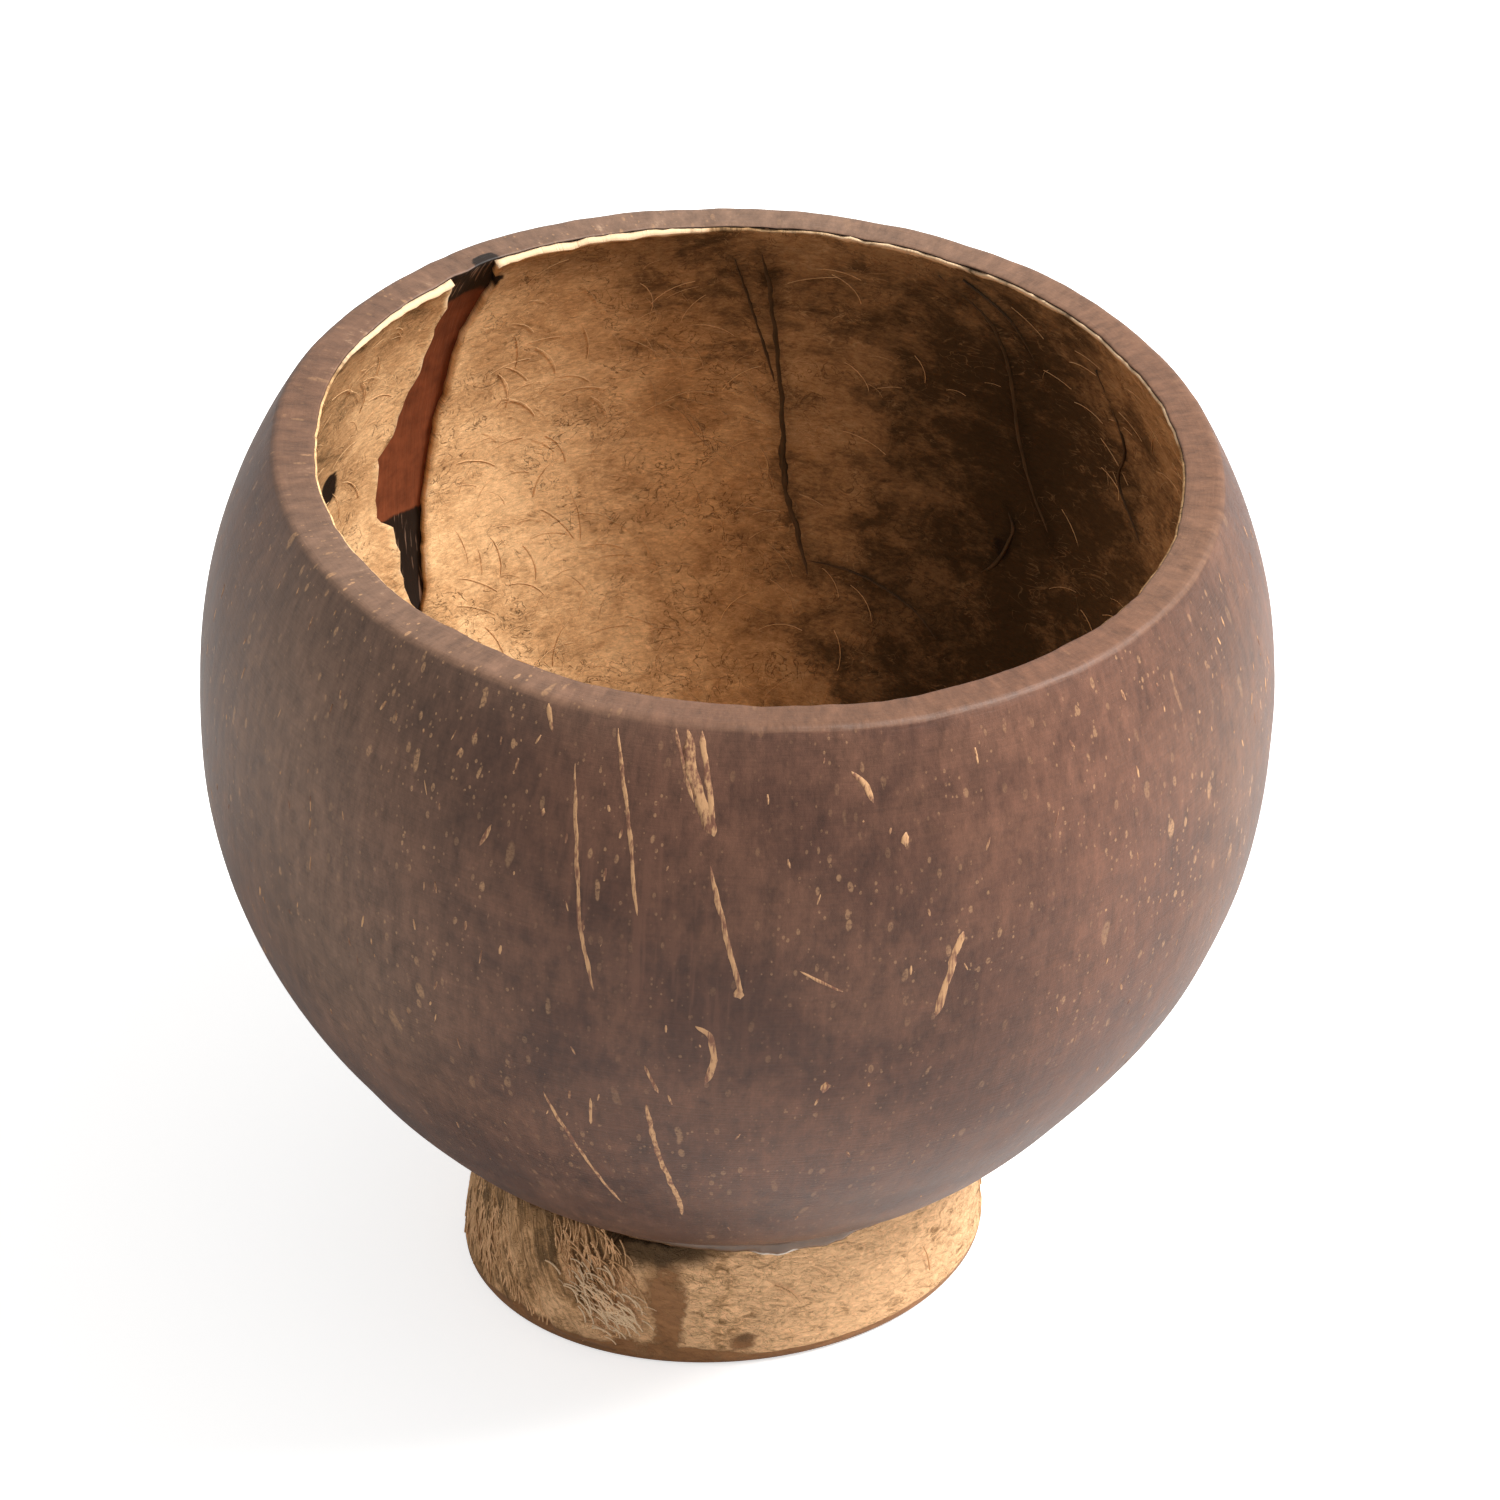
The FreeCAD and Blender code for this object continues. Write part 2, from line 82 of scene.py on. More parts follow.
# Long fibres in the sanded shell: width in millimetres, then bearing and level along each.
SHELL_FIBRES = {
    "left": (0.62, (-109.1, 26.0), (-107.1, 13.8), (-106.1, 7.0), (-104.6, 0.8)),
    "left_faint": (0.6, (-104.9, 30.2), (-102.2, 20.3), (-100.6, 11.0)),
    "bright_wide": (1.7, (-97.0, 31.0), (-95.4, 26.0), (-93.9, 22.6), (-93.3, 20.6)),
    "bright_edge": (0.9, (-95.4, 31.0), (-94.2, 26.5), (-93.2, 21.6)),
    "bright_side": (0.5, (-98.3, 31.0), (-97.0, 27.5), (-95.6, 24.0)),
    "knobbed": (0.8, (-93.4, 17.4), (-91.5, 10.3), (-90.0, 4.4), (-89.5, 2.2)),
    "knob": (1.6, (-90.0, 3.0), (-89.6, 1.6)),
    "short_hook": (1.0, (-94.0, -2.2), (-92.5, -3.4), (-92.0, -6.0), (-92.7, -10.7)),
    "bottom": (
        0.8, (-98.9, -14.5), (-98.2, -20.0), (-97.0, -26.4), (-95.5, -33.0), (-95.2, -37.6)),
    "bottom_left": (0.6, (-110.4, -15.6), (-106.9, -25.1), (-103.2, -36.0)),
    "bottom_dim": (0.6, (-99.1, -8.5), (-97.6, -12.6)),
    "bottom_bit": (0.45, (-105.0, -15.0), (-105.2, -19.5)),
    "right_slant": (1.2, (-66.3, 7.8), (-67.6, 3.0), (-68.8, -2.8)),
    "right_hook": (0.8, (-78.3, 27.2), (-76.9, 26.0), (-76.0, 23.8)),
    "right_cross": (0.45, (-83.6, 5.2), (-79.0, 2.2)),
    "upper_left": (0.7, (-113.6, 31.0), (-112.6, 28.4)),
    "far_left": (0.6, (-117.4, 17.4), (-118.4, 14.6)),
}

# Round flecks in the sanded shell: diameter in millimetres, bearing, level.
SHELL_DOTS = {
    "left": (0.9, -111.7, 20.3),
    "orange": (1.7, -80.1, -11.2),
    "right_upper": (1.6, -72.4, 19.6),
}

# Veins raised in the lining: width in millimetres, then bearing and level along each.
LINING_VEINS = {
    "middle": (
        1.9, (88.0, 27.0), (86.8, 20.7), (84.7, 3.9), (83.8, -6.8), (81.4, -14.0), (79.7, -18.5)),
    "middle_branch": (1.0, (91.4, 25.7), (87.8, 14.0), (85.2, 5.0)),
    "right": (
        1.6, (63.8, 28.4), (57.4, 23.4), (55.3, 16.2), (54.5, 7.6), (51.9, 0.3), (47.2, -7.0)),
    "right_branch": (0.8, (60.0, 29.0), (54.0, 25.0), (50.5, 19.0)),
    "right_hook": (1.1, (57.6, -12.4), (55.6, -10.4), (54.2, -6.0), (55.2, -3.7)),
    "far_right": (0.8, (39.5, 24.0), (37.0, 14.0), (38.5, 8.0), (34.0, 2.0)),
    "low": (0.7, (80.5, -16.0), (74.0, -16.6), (66.0, -19.0), (61.0, -22.0)),
}


def blend(start, end, share):
    """A value that lies a share of the way between two."""
    return start + (end - start) * share


def ease(value, low, high):
    """A smooth step from 0 at low to 1 at high."""
    share = min(max((value - low) / (high - low), 0.0), 1.0)
    return share * share * (3.0 - 2.0 * share)


def spaced(start, end, step):
    """Evenly spaced values from start to end, about a step apart, both ends included."""
    count = max(1, round(abs(end - start) / step))
    return [blend(start, end, index / count) for index in range(count + 1)]


def wobble(place, size, salt=0.0):
    """Smooth noise between about -1 and 1 whose lumps measure about size."""
    return noise.noise(place / size + Vector((salt, salt * 1.7, -salt)))


def wrapped(bearing, radius, widest, travelled):
    """Coordinates that follow a turned surface: evenly spaced round it, smooth at its pole."""
    reach = widest * math.sin(min(1.0, radius / (0.75 * widest)) * math.pi / 2)
    return reach * math.cos(bearing), reach * math.sin(bearing), travelled


def ring_bearings(count):
    """Bearings of a ring's columns, in radians."""
    return [2.0 * math.pi * index / count for index in range(count)]


def flat_way(bearing):
    """The level direction at a bearing in radians."""
    return Vector((math.cos(bearing), math.sin(bearing), 0.0))


def degrees_past(bearing, middle):
    """How far a bearing in radians lies past one in degrees, from -180 to 180 degrees."""
    return (math.degrees(bearing) - middle + 180.0) % 360.0 - 180.0


def between(bearing, start, full, falling, end):
    """A soft mask round the cup: it rises from start to full, then falls to its end, in degrees."""
    degrees = math.degrees(bearing) % 360.0
    return ease(degrees, start, full) * ease(degrees, end, falling)


def length_setting(label, text, millimetres, least=0.0):
    """A length that a user may change."""
    return bpy.props.FloatProperty(
        name=label, description=text, default=millimetres * MM, min=least * MM,
        subtype="DISTANCE", unit="LENGTH")


def angle_setting(label, text, degrees):
    """An angle that a user may change."""
    return bpy.props.FloatProperty(
        name=label, description=text, default=math.radians(degrees),
        subtype="ANGLE", unit="ROTATION")


def colour_setting(label, text, value):
    """A colour that a user may change."""
    return bpy.props.FloatVectorProperty(
        name=label, description=text, default=value, size=3, min=0.0, max=1.0, subtype="COLOR")


class CupSizes(bpy.types.PropertyGroup):
    """Sizes of the bowl and of the papery lining in it."""

    radius: length_setting("Radius", "Outer radius of the shell at its widest", 60.0, 20.0)
    belt: length_setting("Belt", "Height of the straight belt at the widest level", 2.4)
    bottom_drop: length_setting(
        "Bottom drop", "How far the blunt bottom's centre lies below the flank's", 6.8, 1.0)
    bottom_set_in: length_setting(
        "Bottom set-in", "How much smaller the bottom's radius is than the flank's", 4.0)
    wall: length_setting("Shell wall", "Thickness of the hard shell", 3.5, 1.0)
    mouth: length_setting(
        "Mouth height", "Mouth above the belt's lower edge, along the bowl's axis", 31.6, 5.0)
    rim_round: length_setting("Rim rounding", "Rounding of the rim's outer edge", 1.2, 0.1)
    lean: angle_setting("Lean", "Lean of the bowl's axis from upright", 3.3)
    lean_bearing: angle_setting("Lean bearing", "Bearing that the bowl leans towards, from +X", -41.0)
    lump: length_setting("Lumps", "Height of the shell's slight unevenness", 0.3)
    back_rise: length_setting("Back rise", "How much the sawn rim stands up at the back", 0.5)
    lining: length_setting("Lining", "Thickness of the papery lining", 0.4, 0.1)
    lining_stop: length_setting("Lining stop", "Bare band between the rim and the lining's edge", 0.15)


class FootSizes(bpy.types.PropertyGroup):
    """Sizes of the foot and the glue."""

    height: length_setting("Height", "Height of the foot's outer top edge above the table", 14.9, 2.0)
    breadth: length_setting("Breadth", "Short outer diameter of the foot at the table", 55.8, 20.0)
    extra_length: length_setting("Extra length", "How much more its long diameter measures there", 5.2)
    turn: angle_setting("Turn", "Bearing of the foot's long diameter, from +X", 30.0)
    left: length_setting("Left", "How far the base is off the neck's centre, towards -X", 1.1)
    forward: length_setting("Forward", "How far the base is off the neck's centre, towards -Y", 1.45)
    neck: length_setting("Neck", "Outer diameter of the foot where it meets the bowl", 54.4, 10.0)
    wall: length_setting("Wall", "Thickness of the foot's shell", 4.0, 1.0)
    bevel: length_setting("Worn edge", "Bevel sanded on the outer edge at the table", 1.4)
    bead: length_setting("Glue bead", "Width of the glue squeezed out round the foot's top", 1.0, 0.1)


class CupColours(bpy.types.PropertyGroup):
    """Colours of the cup's finishes."""

    shell_dark: colour_setting("Shell, dark", "Sanded shell in its dark patches", (0.062, 0.026, 0.016))
    shell_mid: colour_setting("Shell, mid", "Sanded shell over most of the bowl", (0.104, 0.046, 0.027))
    shell_red: colour_setting("Shell, red", "Sanded shell where it is reddish", (0.135, 0.058, 0.035))
    # Also the painted sheen at the edges and along the rim, and the grey streaks in the black stain
    # inside.
    shell_grey: colour_setting("Shell, grey", "Sanded shell where it is greyish", (0.175, 0.106, 0.070))
    fleck: colour_setting("Flecks", "Cut fibres in the sanded shell", (0.46, 0.255, 0.125))
    rim: colour_setting("Rim", "The sawn and sanded rim", (0.125, 0.060, 0.034))
    bare: colour_setting("Bare shell", "Shell under the peeled strip", (0.145, 0.039, 0.015))
    char: colour_setting("Dark stain", "Black stain in the tear and at the rim", (0.013, 0.007, 0.004))
    lining_light: colour_setting("Lining, light", "Papery lining at its lightest", (0.75, 0.475, 0.240))
    lining_mid: colour_setting(
        "Lining, mid", "Papery lining over most of the inside", (0.52, 0.300, 0.138))
    lining_dark: colour_setting("Lining, dark", "Papery lining in its dark mottles", (0.150, 0.086, 0.038))
    torn: colour_setting("Torn edge", "Pale torn edge of the lining", (0.74, 0.52, 0.32))
    foot_light: colour_setting("Foot, light", "Raw shell where fibres are golden", (0.86, 0.51, 0.265))
    foot_mid: colour_setting("Foot, mid", "Raw shell between", (0.50, 0.27, 0.12))
    foot_dark: colour_setting("Foot, dark", "Raw shell where it is olive brown", (0.19, 0.105, 0.045))
    foot_worn: colour_setting("Foot, worn", "Smooth worn edge of the foot", (0.27, 0.125, 0.050))
    # Colour of the pale painted highlight on the glue bead.
    glue_highlight: colour_setting("Glue, milky", "Dried glue where it is thick and pale", (0.70, 0.62, 0.54))
    glue: colour_setting("Glue", "Dried glue round the foot's top", (0.12, 0.058, 0.026))


class BowlForm:
    """Places on the bowl, from a bearing, a level above the belt's lower edge and an inset."""

    rim_reach = 14.0 * MM
    edge_reach = 9.0 * MM
    thick_bearing = math.radians(-150.0)
    thick_extra = 0.6 * MM

    def __init__(self, sizes):
        self.sizes = sizes
        self.slope = -math.asin(sizes.bottom_set_in / sizes.bottom_drop)
        self.bottom_radius = sizes.radius - sizes.bottom_set_in
        self.seat_level = BOWL_LOW.z + self.bottom_radius
        axis = Vector((-math.sin(sizes.lean_bearing), math.cos(sizes.lean_bearing), 0.0))
        height = self.seat_level + sizes.bottom_drop * math.cos(sizes.lean)
        self.stand = Matrix.Translation((0.0, 0.0, height)) @ Matrix.Rotation(sizes.lean, 4, axis)
        self.seat = self.stand @ Vector((0.0, 0.0, -sizes.bottom_drop))

    def radius(self, level, inset):
        """Distance from the bowl's axis to a layer at a level."""
        size = self.sizes
        flank = size.radius - inset
        bottom = self.bottom_radius - inset
        if level > size.belt:
            return math.sqrt(max(flank ** 2 - (level - size.belt) ** 2, 0.0))
        if level > 0.0:
            return flank
        cone_head = flank * math.sin(self.slope)
        cone_foot = bottom * math.sin(self.slope) - size.bottom_drop
        if level > cone_head:
            return math.sqrt(flank ** 2 - level ** 2)
        if level > cone_foot:
            share = (level - cone_foot) / (cone_head - cone_foot)
            return blend(bottom, flank, share) * math.cos(self.slope)
        return math.sqrt(max(bottom ** 2 - (level + size.bottom_drop) ** 2, 0.0))

    def line(self, inset, top, step):
        """Points (radius, level) up a layer's side from the pole, about a step apart."""
        size = self.sizes
        flank = size.radius - inset
        bottom = self.bottom_radius - inset
        points = []
        for angle in spaced(-math.pi / 2, self.slope, step / bottom):
            points.append((bottom * math.cos(angle), bottom * math.sin(angle) - size.bottom_drop))
        flank_angles = spaced(self.slope, 0.0, step / flank)
        cone_head = (flank * math.cos(self.slope), flank * math.sin(self.slope))
        cone_foot = points[-1]
        cone_length = math.dist(cone_head, cone_foot)
        for share in spaced(0.0, 1.0, step / cone_length)[1:-1]:
            ends = zip(cone_foot, cone_head)
            points.append(tuple(blend(low, high, share) for low, high in ends))
        points += [(flank * math.cos(angle), flank * math.sin(angle)) for angle in flank_angles]
        points.append((flank, size.belt))
        top_angle = math.asin((top - size.belt) / flank)
        for angle in spaced(0.0, top_angle, step / flank)[1:]:
            points.append((flank * math.cos(angle), size.belt + flank * math.sin(angle)))
        return points

    def rim_shift(self, bearing, level):
        """How much the sawn mouth lifts or dips the wall there, dying out below the rim."""
        size = self.sizes
        reach = ease(level, size.mouth - self.rim_reach, size.mouth - 1.0 * MM)
        if not reach:
            return 0.0
        around = flat_way(bearing) * size.radius
        back = max(math.sin(bearing), 0.0) ** 2
        rise = size.back_rise * back + 0.22 * MM * wobble(around, 14.0 * MM, 3.0)
        return reach * (rise + 0.10 * MM * wobble(around, 3.0 * MM, 8.0))

    def edge_shift(self, bearing, radius, level):
        """How much the sawn wall's inner side wanders in and out near the rim."""
        size = self.sizes
        outer = self.radius(min(level, size.mouth), 0.0)
        inside = ease(outer - radius, 0.8 * MM, size.wall)
        near = ease(level, size.mouth - self.edge_reach, size.mouth - 1.0 * MM)
        if not inside or not near:
            return 0.0
        around = flat_way(bearing) * size.radius
        drift = 0.30 * MM * wobble(around, 11.0 * MM, 12.0)
        drift += 0.16 * MM * wobble(around, 2.5 * MM, 15.0)
        thick_side = max(math.cos(bearing - self.thick_bearing), 0.0) ** 2
        return inside * near * (drift - self.thick_extra * thick_side)

    def put(self, bearing, radius, level, lift=0.0):
        """The point in the scene at a bearing in radians, with the shell's lumps."""
        size = self.sizes
        flat = flat_way(bearing)
        level += self.rim_shift(bearing, level)
        point = flat * radius + Vector((0.0, 0.0, level))
        outward = point.normalized()
        along = outward * size.radius
        lump = size.lump * (wobble(along, 26.0 * MM) + 0.35 * wobble(along, 9.0 * MM, 5.0))
        return self.stand @ (point + outward * (lump + lift))

    def on(self, bearing_degrees, level, inset=0.0):
        """The point on a layer at a bearing in degrees and a level in metres."""
        return self.put(math.radians(bearing_degrees), self.radius(level, inset), level)


def add_mesh(name, vertices, faces, smooth=True):
    """A new object from vertices and faces, all its faces shaded smooth."""
    mesh = bpy.data.meshes.new(name)
    mesh.from_pydata([tuple(vertex) for vertex in vertices], [], faces)
    mesh.validate()
    mesh.polygons.foreach_set("use_smooth", [smooth] * len(mesh.polygons))
    piece = bpy.data.objects.new(name, mesh)
    bpy.context.scene.collection.objects.link(piece)
    return piece


def grid_faces(rows, columns, closed=True, looped=False):
    """Faces between rows of vertices, each row a ring and the rows looped if asked."""
    faces = []
    for row in range(rows if looped else rows - 1):
        low, high = row * columns, (row + 1) % rows * columns
        for column in range(columns if closed else columns - 1):
            beside = (column + 1) % columns
            faces.append((low + column, low + beside, high + beside, high + column))
    return faces


def write_values(piece, name, values):
    """Keep one number for each vertex under a name that a material reads."""
    attribute = piece.data.attributes.new(name, "FLOAT", "POINT")
    attribute.data.foreach_set("value", values)


def write_vectors(piece, name, vectors):
    """Keep one vector for each vertex under a name that a material reads."""
    attribute = piece.data.attributes.new(name, "FLOAT_VECTOR", "POINT")
    attribute.data.foreach_set("vector", [number for vector in vectors for number in vector])


def settle(piece):
    """Turn a piece and its modifiers into a plain mesh."""
    graph = bpy.context.evaluated_depsgraph_get()
    mesh = bpy.data.meshes.new_from_object(piece.evaluated_get(graph))
    piece.modifiers.clear()
    old = piece.data
    piece.data = mesh
    bpy.data.meshes.remove(old)
    mesh.name = piece.name
    mesh.polygons.foreach_set("use_smooth", [True] * len(mesh.polygons))


def hand_over(piece, slot, *nodes):
    """Let a finished piece ride on the cup and stand for its nodes."""
    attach(piece, BODY)
    if nodes:
        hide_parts(*nodes)


def add_node(tree, kind, inputs=None, **settings):
    """Add a node, set its options and fill its inputs with values or links."""
    made = tree.nodes.new(kind)
    for key, value in settings.items():
        setattr(made, key, value)
    for key, value in (inputs or {}).items():
        if isinstance(value, bpy.types.NodeSocket):
            tree.links.new(value, made.inputs[key])
        else:
            made.inputs[key].default_value = value
    return made


class Recipe:
    """One material's nodes, with short calls for the steps that the finishes share."""

    def __init__(self, name):
        self.material = bpy.data.materials.new(name)
        self.material.use_nodes = True
        self.tree = self.material.node_tree
        self.shader = self.tree.nodes["Principled BSDF"]
        self.node = functools.partial(add_node, self.tree)

    def place(self):
        """Object coordinates, in metres."""
        return self.node("ShaderNodeTexCoord").outputs["Object"]

    def kept(self, name, vector=False):
        """A value or vector kept on the mesh under a name."""
        made = self.node("ShaderNodeAttribute", attribute_name=name)
        return made.outputs["Vector" if vector else "Fac"]

    def stretch(self, vector, across, upright, turn=0.0):
        """Coordinates scaled to units of these lengths, turned about the view's depth first."""
        scale = (1.0 / across, 1.0 / across, 1.0 / upright)
        mapping = self.node("ShaderNodeMapping", {"Vector": vector, "Scale": scale})
        mapping.inputs["Rotation"].default_value = (turn, turn, 0.0)
        return mapping.outputs["Vector"]

    def noise(self, vector, scale=1.0, detail=4.0, roughness=0.55, warp=0.0):
        """Noise from 0 to 1."""
        made = self.node("ShaderNodeTexNoise", {
            "Vector": vector, "Scale": scale, "Detail": detail,
            "Roughness": roughness, "Distortion": warp})
        return made.outputs["Fac"]

    def math(self, operation, *values):
        """One sum on values or links."""
        made = self.node("ShaderNodeMath", dict(enumerate(values)), operation=operation)
        return made.outputs["Value"]

    def times(self, first, second):
        """The product of two values."""
        return self.math("MULTIPLY", first, second)

    def plus(self, first, second):
        """The sum of two values."""
        return self.math("ADD", first, second)

    def scaled(self, value, factor, offset):
        """A value times a factor, plus an offset."""
        return self.math("MULTIPLY_ADD", value, factor, offset)

    def span(self, value, low, high):
        """A smooth step from 0 to 1 of a value between two limits."""
        made = self.node("ShaderNodeMapRange", {
            "Value": value, "From Min": low, "From Max": high}, interpolation_type="SMOOTHSTEP")
        return made.outputs["Result"]

    def mix(self, share, low, high):
        """Two colours mixed by a share."""
        made = self.node("ShaderNodeMix", data_type="RGBA")
        sockets = made.inputs[0], made.inputs[6], made.inputs[7]
        for socket, value in zip(sockets, (share, low, high)):
            if isinstance(value, bpy.types.NodeSocket):
                self.tree.links.new(value, socket)
            elif isinstance(value, (int, float)):
                socket.default_value = value
            else:
                socket.default_value = (*value, 1.0)
        return made.outputs[2]

    def shade(self, tint, amount):
        """A colour made lighter or darker by a factor that may vary."""
        made = self.node("ShaderNodeVectorMath", {0: tint, "Scale": amount}, operation="SCALE")
        return made.outputs["Vector"]

    def flecks(self, vector, reach, chance, warp_by):
        """A mask of scattered elongated dots: their reach within a cell and the share of cells."""
        shifted = self.node("ShaderNodeVectorMath", {0: vector, 1: warp_by}, operation="ADD")
        cells = self.node("ShaderNodeTexVoronoi", {
            "Vector": shifted.outputs["Vector"], "Scale": 1.0})
        pick = self.node("ShaderNodeSeparateColor", {"Color": cells.outputs["Color"]})
        chosen = self.math("LESS_THAN", pick.outputs["Red"], chance)
        size = self.math("MULTIPLY_ADD", pick.outputs["Green"], reach * 0.75, reach * 0.4)
        near = self.math("DIVIDE", cells.outputs["Distance"], size)
        dot = self.span(near, 1.0, 0.7)
        return self.math("MULTIPLY", dot, chosen)

    def threads(self, vector, width, detail=1.5, warp=0.6):
        """A mask of thin wandering lines, where noise crosses its middle value."""
        value = self.noise(vector, 1.0, detail, 0.5, warp)
        away = self.math("ABSOLUTE", self.math("SUBTRACT", value, 0.5))
        return self.span(away, width, 0.0)

    def bump(self, height, strength, distance):
        """A bump from a height."""
        made = self.node("ShaderNodeBump", {
            "Height": height, "Strength": strength, "Distance": distance})
        return made.outputs["Normal"]

    def finish(self, tint, roughness, normal, specular):
        """Lead the colour, roughness and bump into the shader and return the material."""
        self.shader.inputs["Specular IOR Level"].default_value = specular
        self.tree.links.new(tint, self.shader.inputs["Base Color"])
        self.tree.links.new(normal, self.shader.inputs["Normal"])
        if isinstance(roughness, bpy.types.NodeSocket):
            self.tree.links.new(roughness, self.shader.inputs["Roughness"])
        else:
            self.shader.inputs["Roughness"].default_value = roughness
        return self.material


def sanded_shell_finish(colours):
    """Dark sanded shell: cloudy, with level sanding lines, upright fibre lines and tan flecks."""
    make = Recipe("sanded shell")
    place = make.place()
    around = make.kept("shell_map", vector=True)
    clouds = make.noise(place, 1.0 / (15.0 * MM), 6.0, 0.66, 0.3)
    mottle = make.noise(make.stretch(around, 2.0 * MM, 3.4 * MM), 1.0, 8.0, 0.76)
    sanding = make.noise(make.stretch(around, 5.0 * MM, 0.30 * MM), 1.0, 3.0, 0.65)
    grain = make.noise(make.stretch(around, 1.1 * MM, 13.0 * MM), 1.0, 4.0, 0.6, 0.3)
    base = make.mix(make.span(clouds, 0.38, 0.62), colours.shell_dark, colours.shell_mid)
    base = make.mix(make.kept("rim_share"), base, colours.rim)
    base = make.mix(make.kept("reddish"), base, colours.shell_red)
    # Greyer and lighter towards the edges and along the rim: painted sheen, partly the shell's own grey
    # tone.
    base = make.mix(make.kept("greyish"), base, colours.shell_grey)
    tone = make.scaled(mottle, 2.1, -0.05)
    tone = make.times(tone, make.scaled(sanding, 0.34, 0.83))
    off_rim = make.scaled(make.kept("rim_share"), -0.8, 1.0)
    streaky = make.times(off_rim, make.scaled(grain, 0.55, -0.275))
    tone = make.times(tone, make.plus(streaky, 1.0))
    base = make.shade(base, tone)
    bands = make.noise(make.stretch(around, 1.5 * MM, 20.0 * MM), 1.0, 3.0, 0.6, 0.2)
    bands = make.times(make.kept("banded"), make.times(make.span(bands, 0.50, 0.64), 0.55))
    base = make.mix(bands, base, colours.shell_red)
    bend = make.node("ShaderNodeTexNoise", {
        "Vector": around, "Scale": 1.0 / (6.0 * MM)}).outputs["Color"]
    crowd = make.span(make.noise(place, 1.0 / (13.0 * MM), 3.0, 0.6), 0.42, 0.62)
    coarse = make.flecks(make.stretch(around, 2.4 * MM, 6.0 * MM), 0.24, 0.28, bend)
    fine = make.flecks(make.stretch(around, 1.1 * MM, 2.2 * MM), 0.32, 0.30, bend)
    speck = make.flecks(make.stretch(around, 0.55 * MM, 0.75 * MM), 0.36, 0.24, bend)
    share = make.times(fine, make.scaled(crowd, 0.50, 0.22))
    share = make.math("MAXIMUM", share, make.times(coarse, make.scaled(crowd, 0.45, 0.30)))
    share = make.math("MAXIMUM", share, make.times(speck, make.scaled(crowd, 0.50, 0.14)))
    ragged = make.span(make.noise(place, 1.0 / (0.35 * MM), 3.0, 0.6), 0.25, 0.6)
    share = make.times(share, make.times(ragged, make.kept("fleckiness")))
    base = make.mix(share, base, colours.fleck)
    pale = make.times(make.span(mottle, 0.56, 0.72), make.kept("pale_edge"))
    base = make.mix(make.times(pale, 0.8), base, colours.torn)
    stain = make.plus(make.kept("stain"), make.scaled(mottle, 0.9, -0.45))
    base = make.mix(make.span(stain, 0.40, 0.62), base, colours.char)
    height = make.plus(make.times(sanding, 0.5), make.times(mottle, 1.0))
    normal = make.bump(height, 0.4, 0.25 * MM)
    rough = make.scaled(mottle, 0.25, 0.36)
    return make.finish(base, rough, normal, specular=0.24)


def bare_shell_finish(colours):
    """Shell where the lining is peeled off: reddish brown, streaked, stained black in places."""
    make = Recipe("bare inner shell")
    around = make.kept("shell_map", vector=True)
    grain = make.noise(make.stretch(around, 0.7 * MM, 7.0 * MM), 1.0, 4.0, 0.6, 0.2)
    blotch = make.noise(make.place(), 1.0 / (2.4 * MM), 4.0, 0.6)
    tone = make.times(make.scaled(grain, 0.6, 0.7), make.scaled(blotch, 1.3, 0.35))
    base = make.shade(colours.bare, tone)
    stain = make.plus(make.kept("stain"), make.scaled(blotch, 0.9, -0.45))
    streak = make.span(grain, 0.56, 0.64)
    charred = make.mix(streak, colours.char, colours.shell_grey)
    base = make.mix(make.span(stain, 0.35, 0.6), base, charred)
    normal = make.bump(grain, 0.5, 0.2 * MM)
    return make.finish(base, 0.62, normal, specular=0.15)


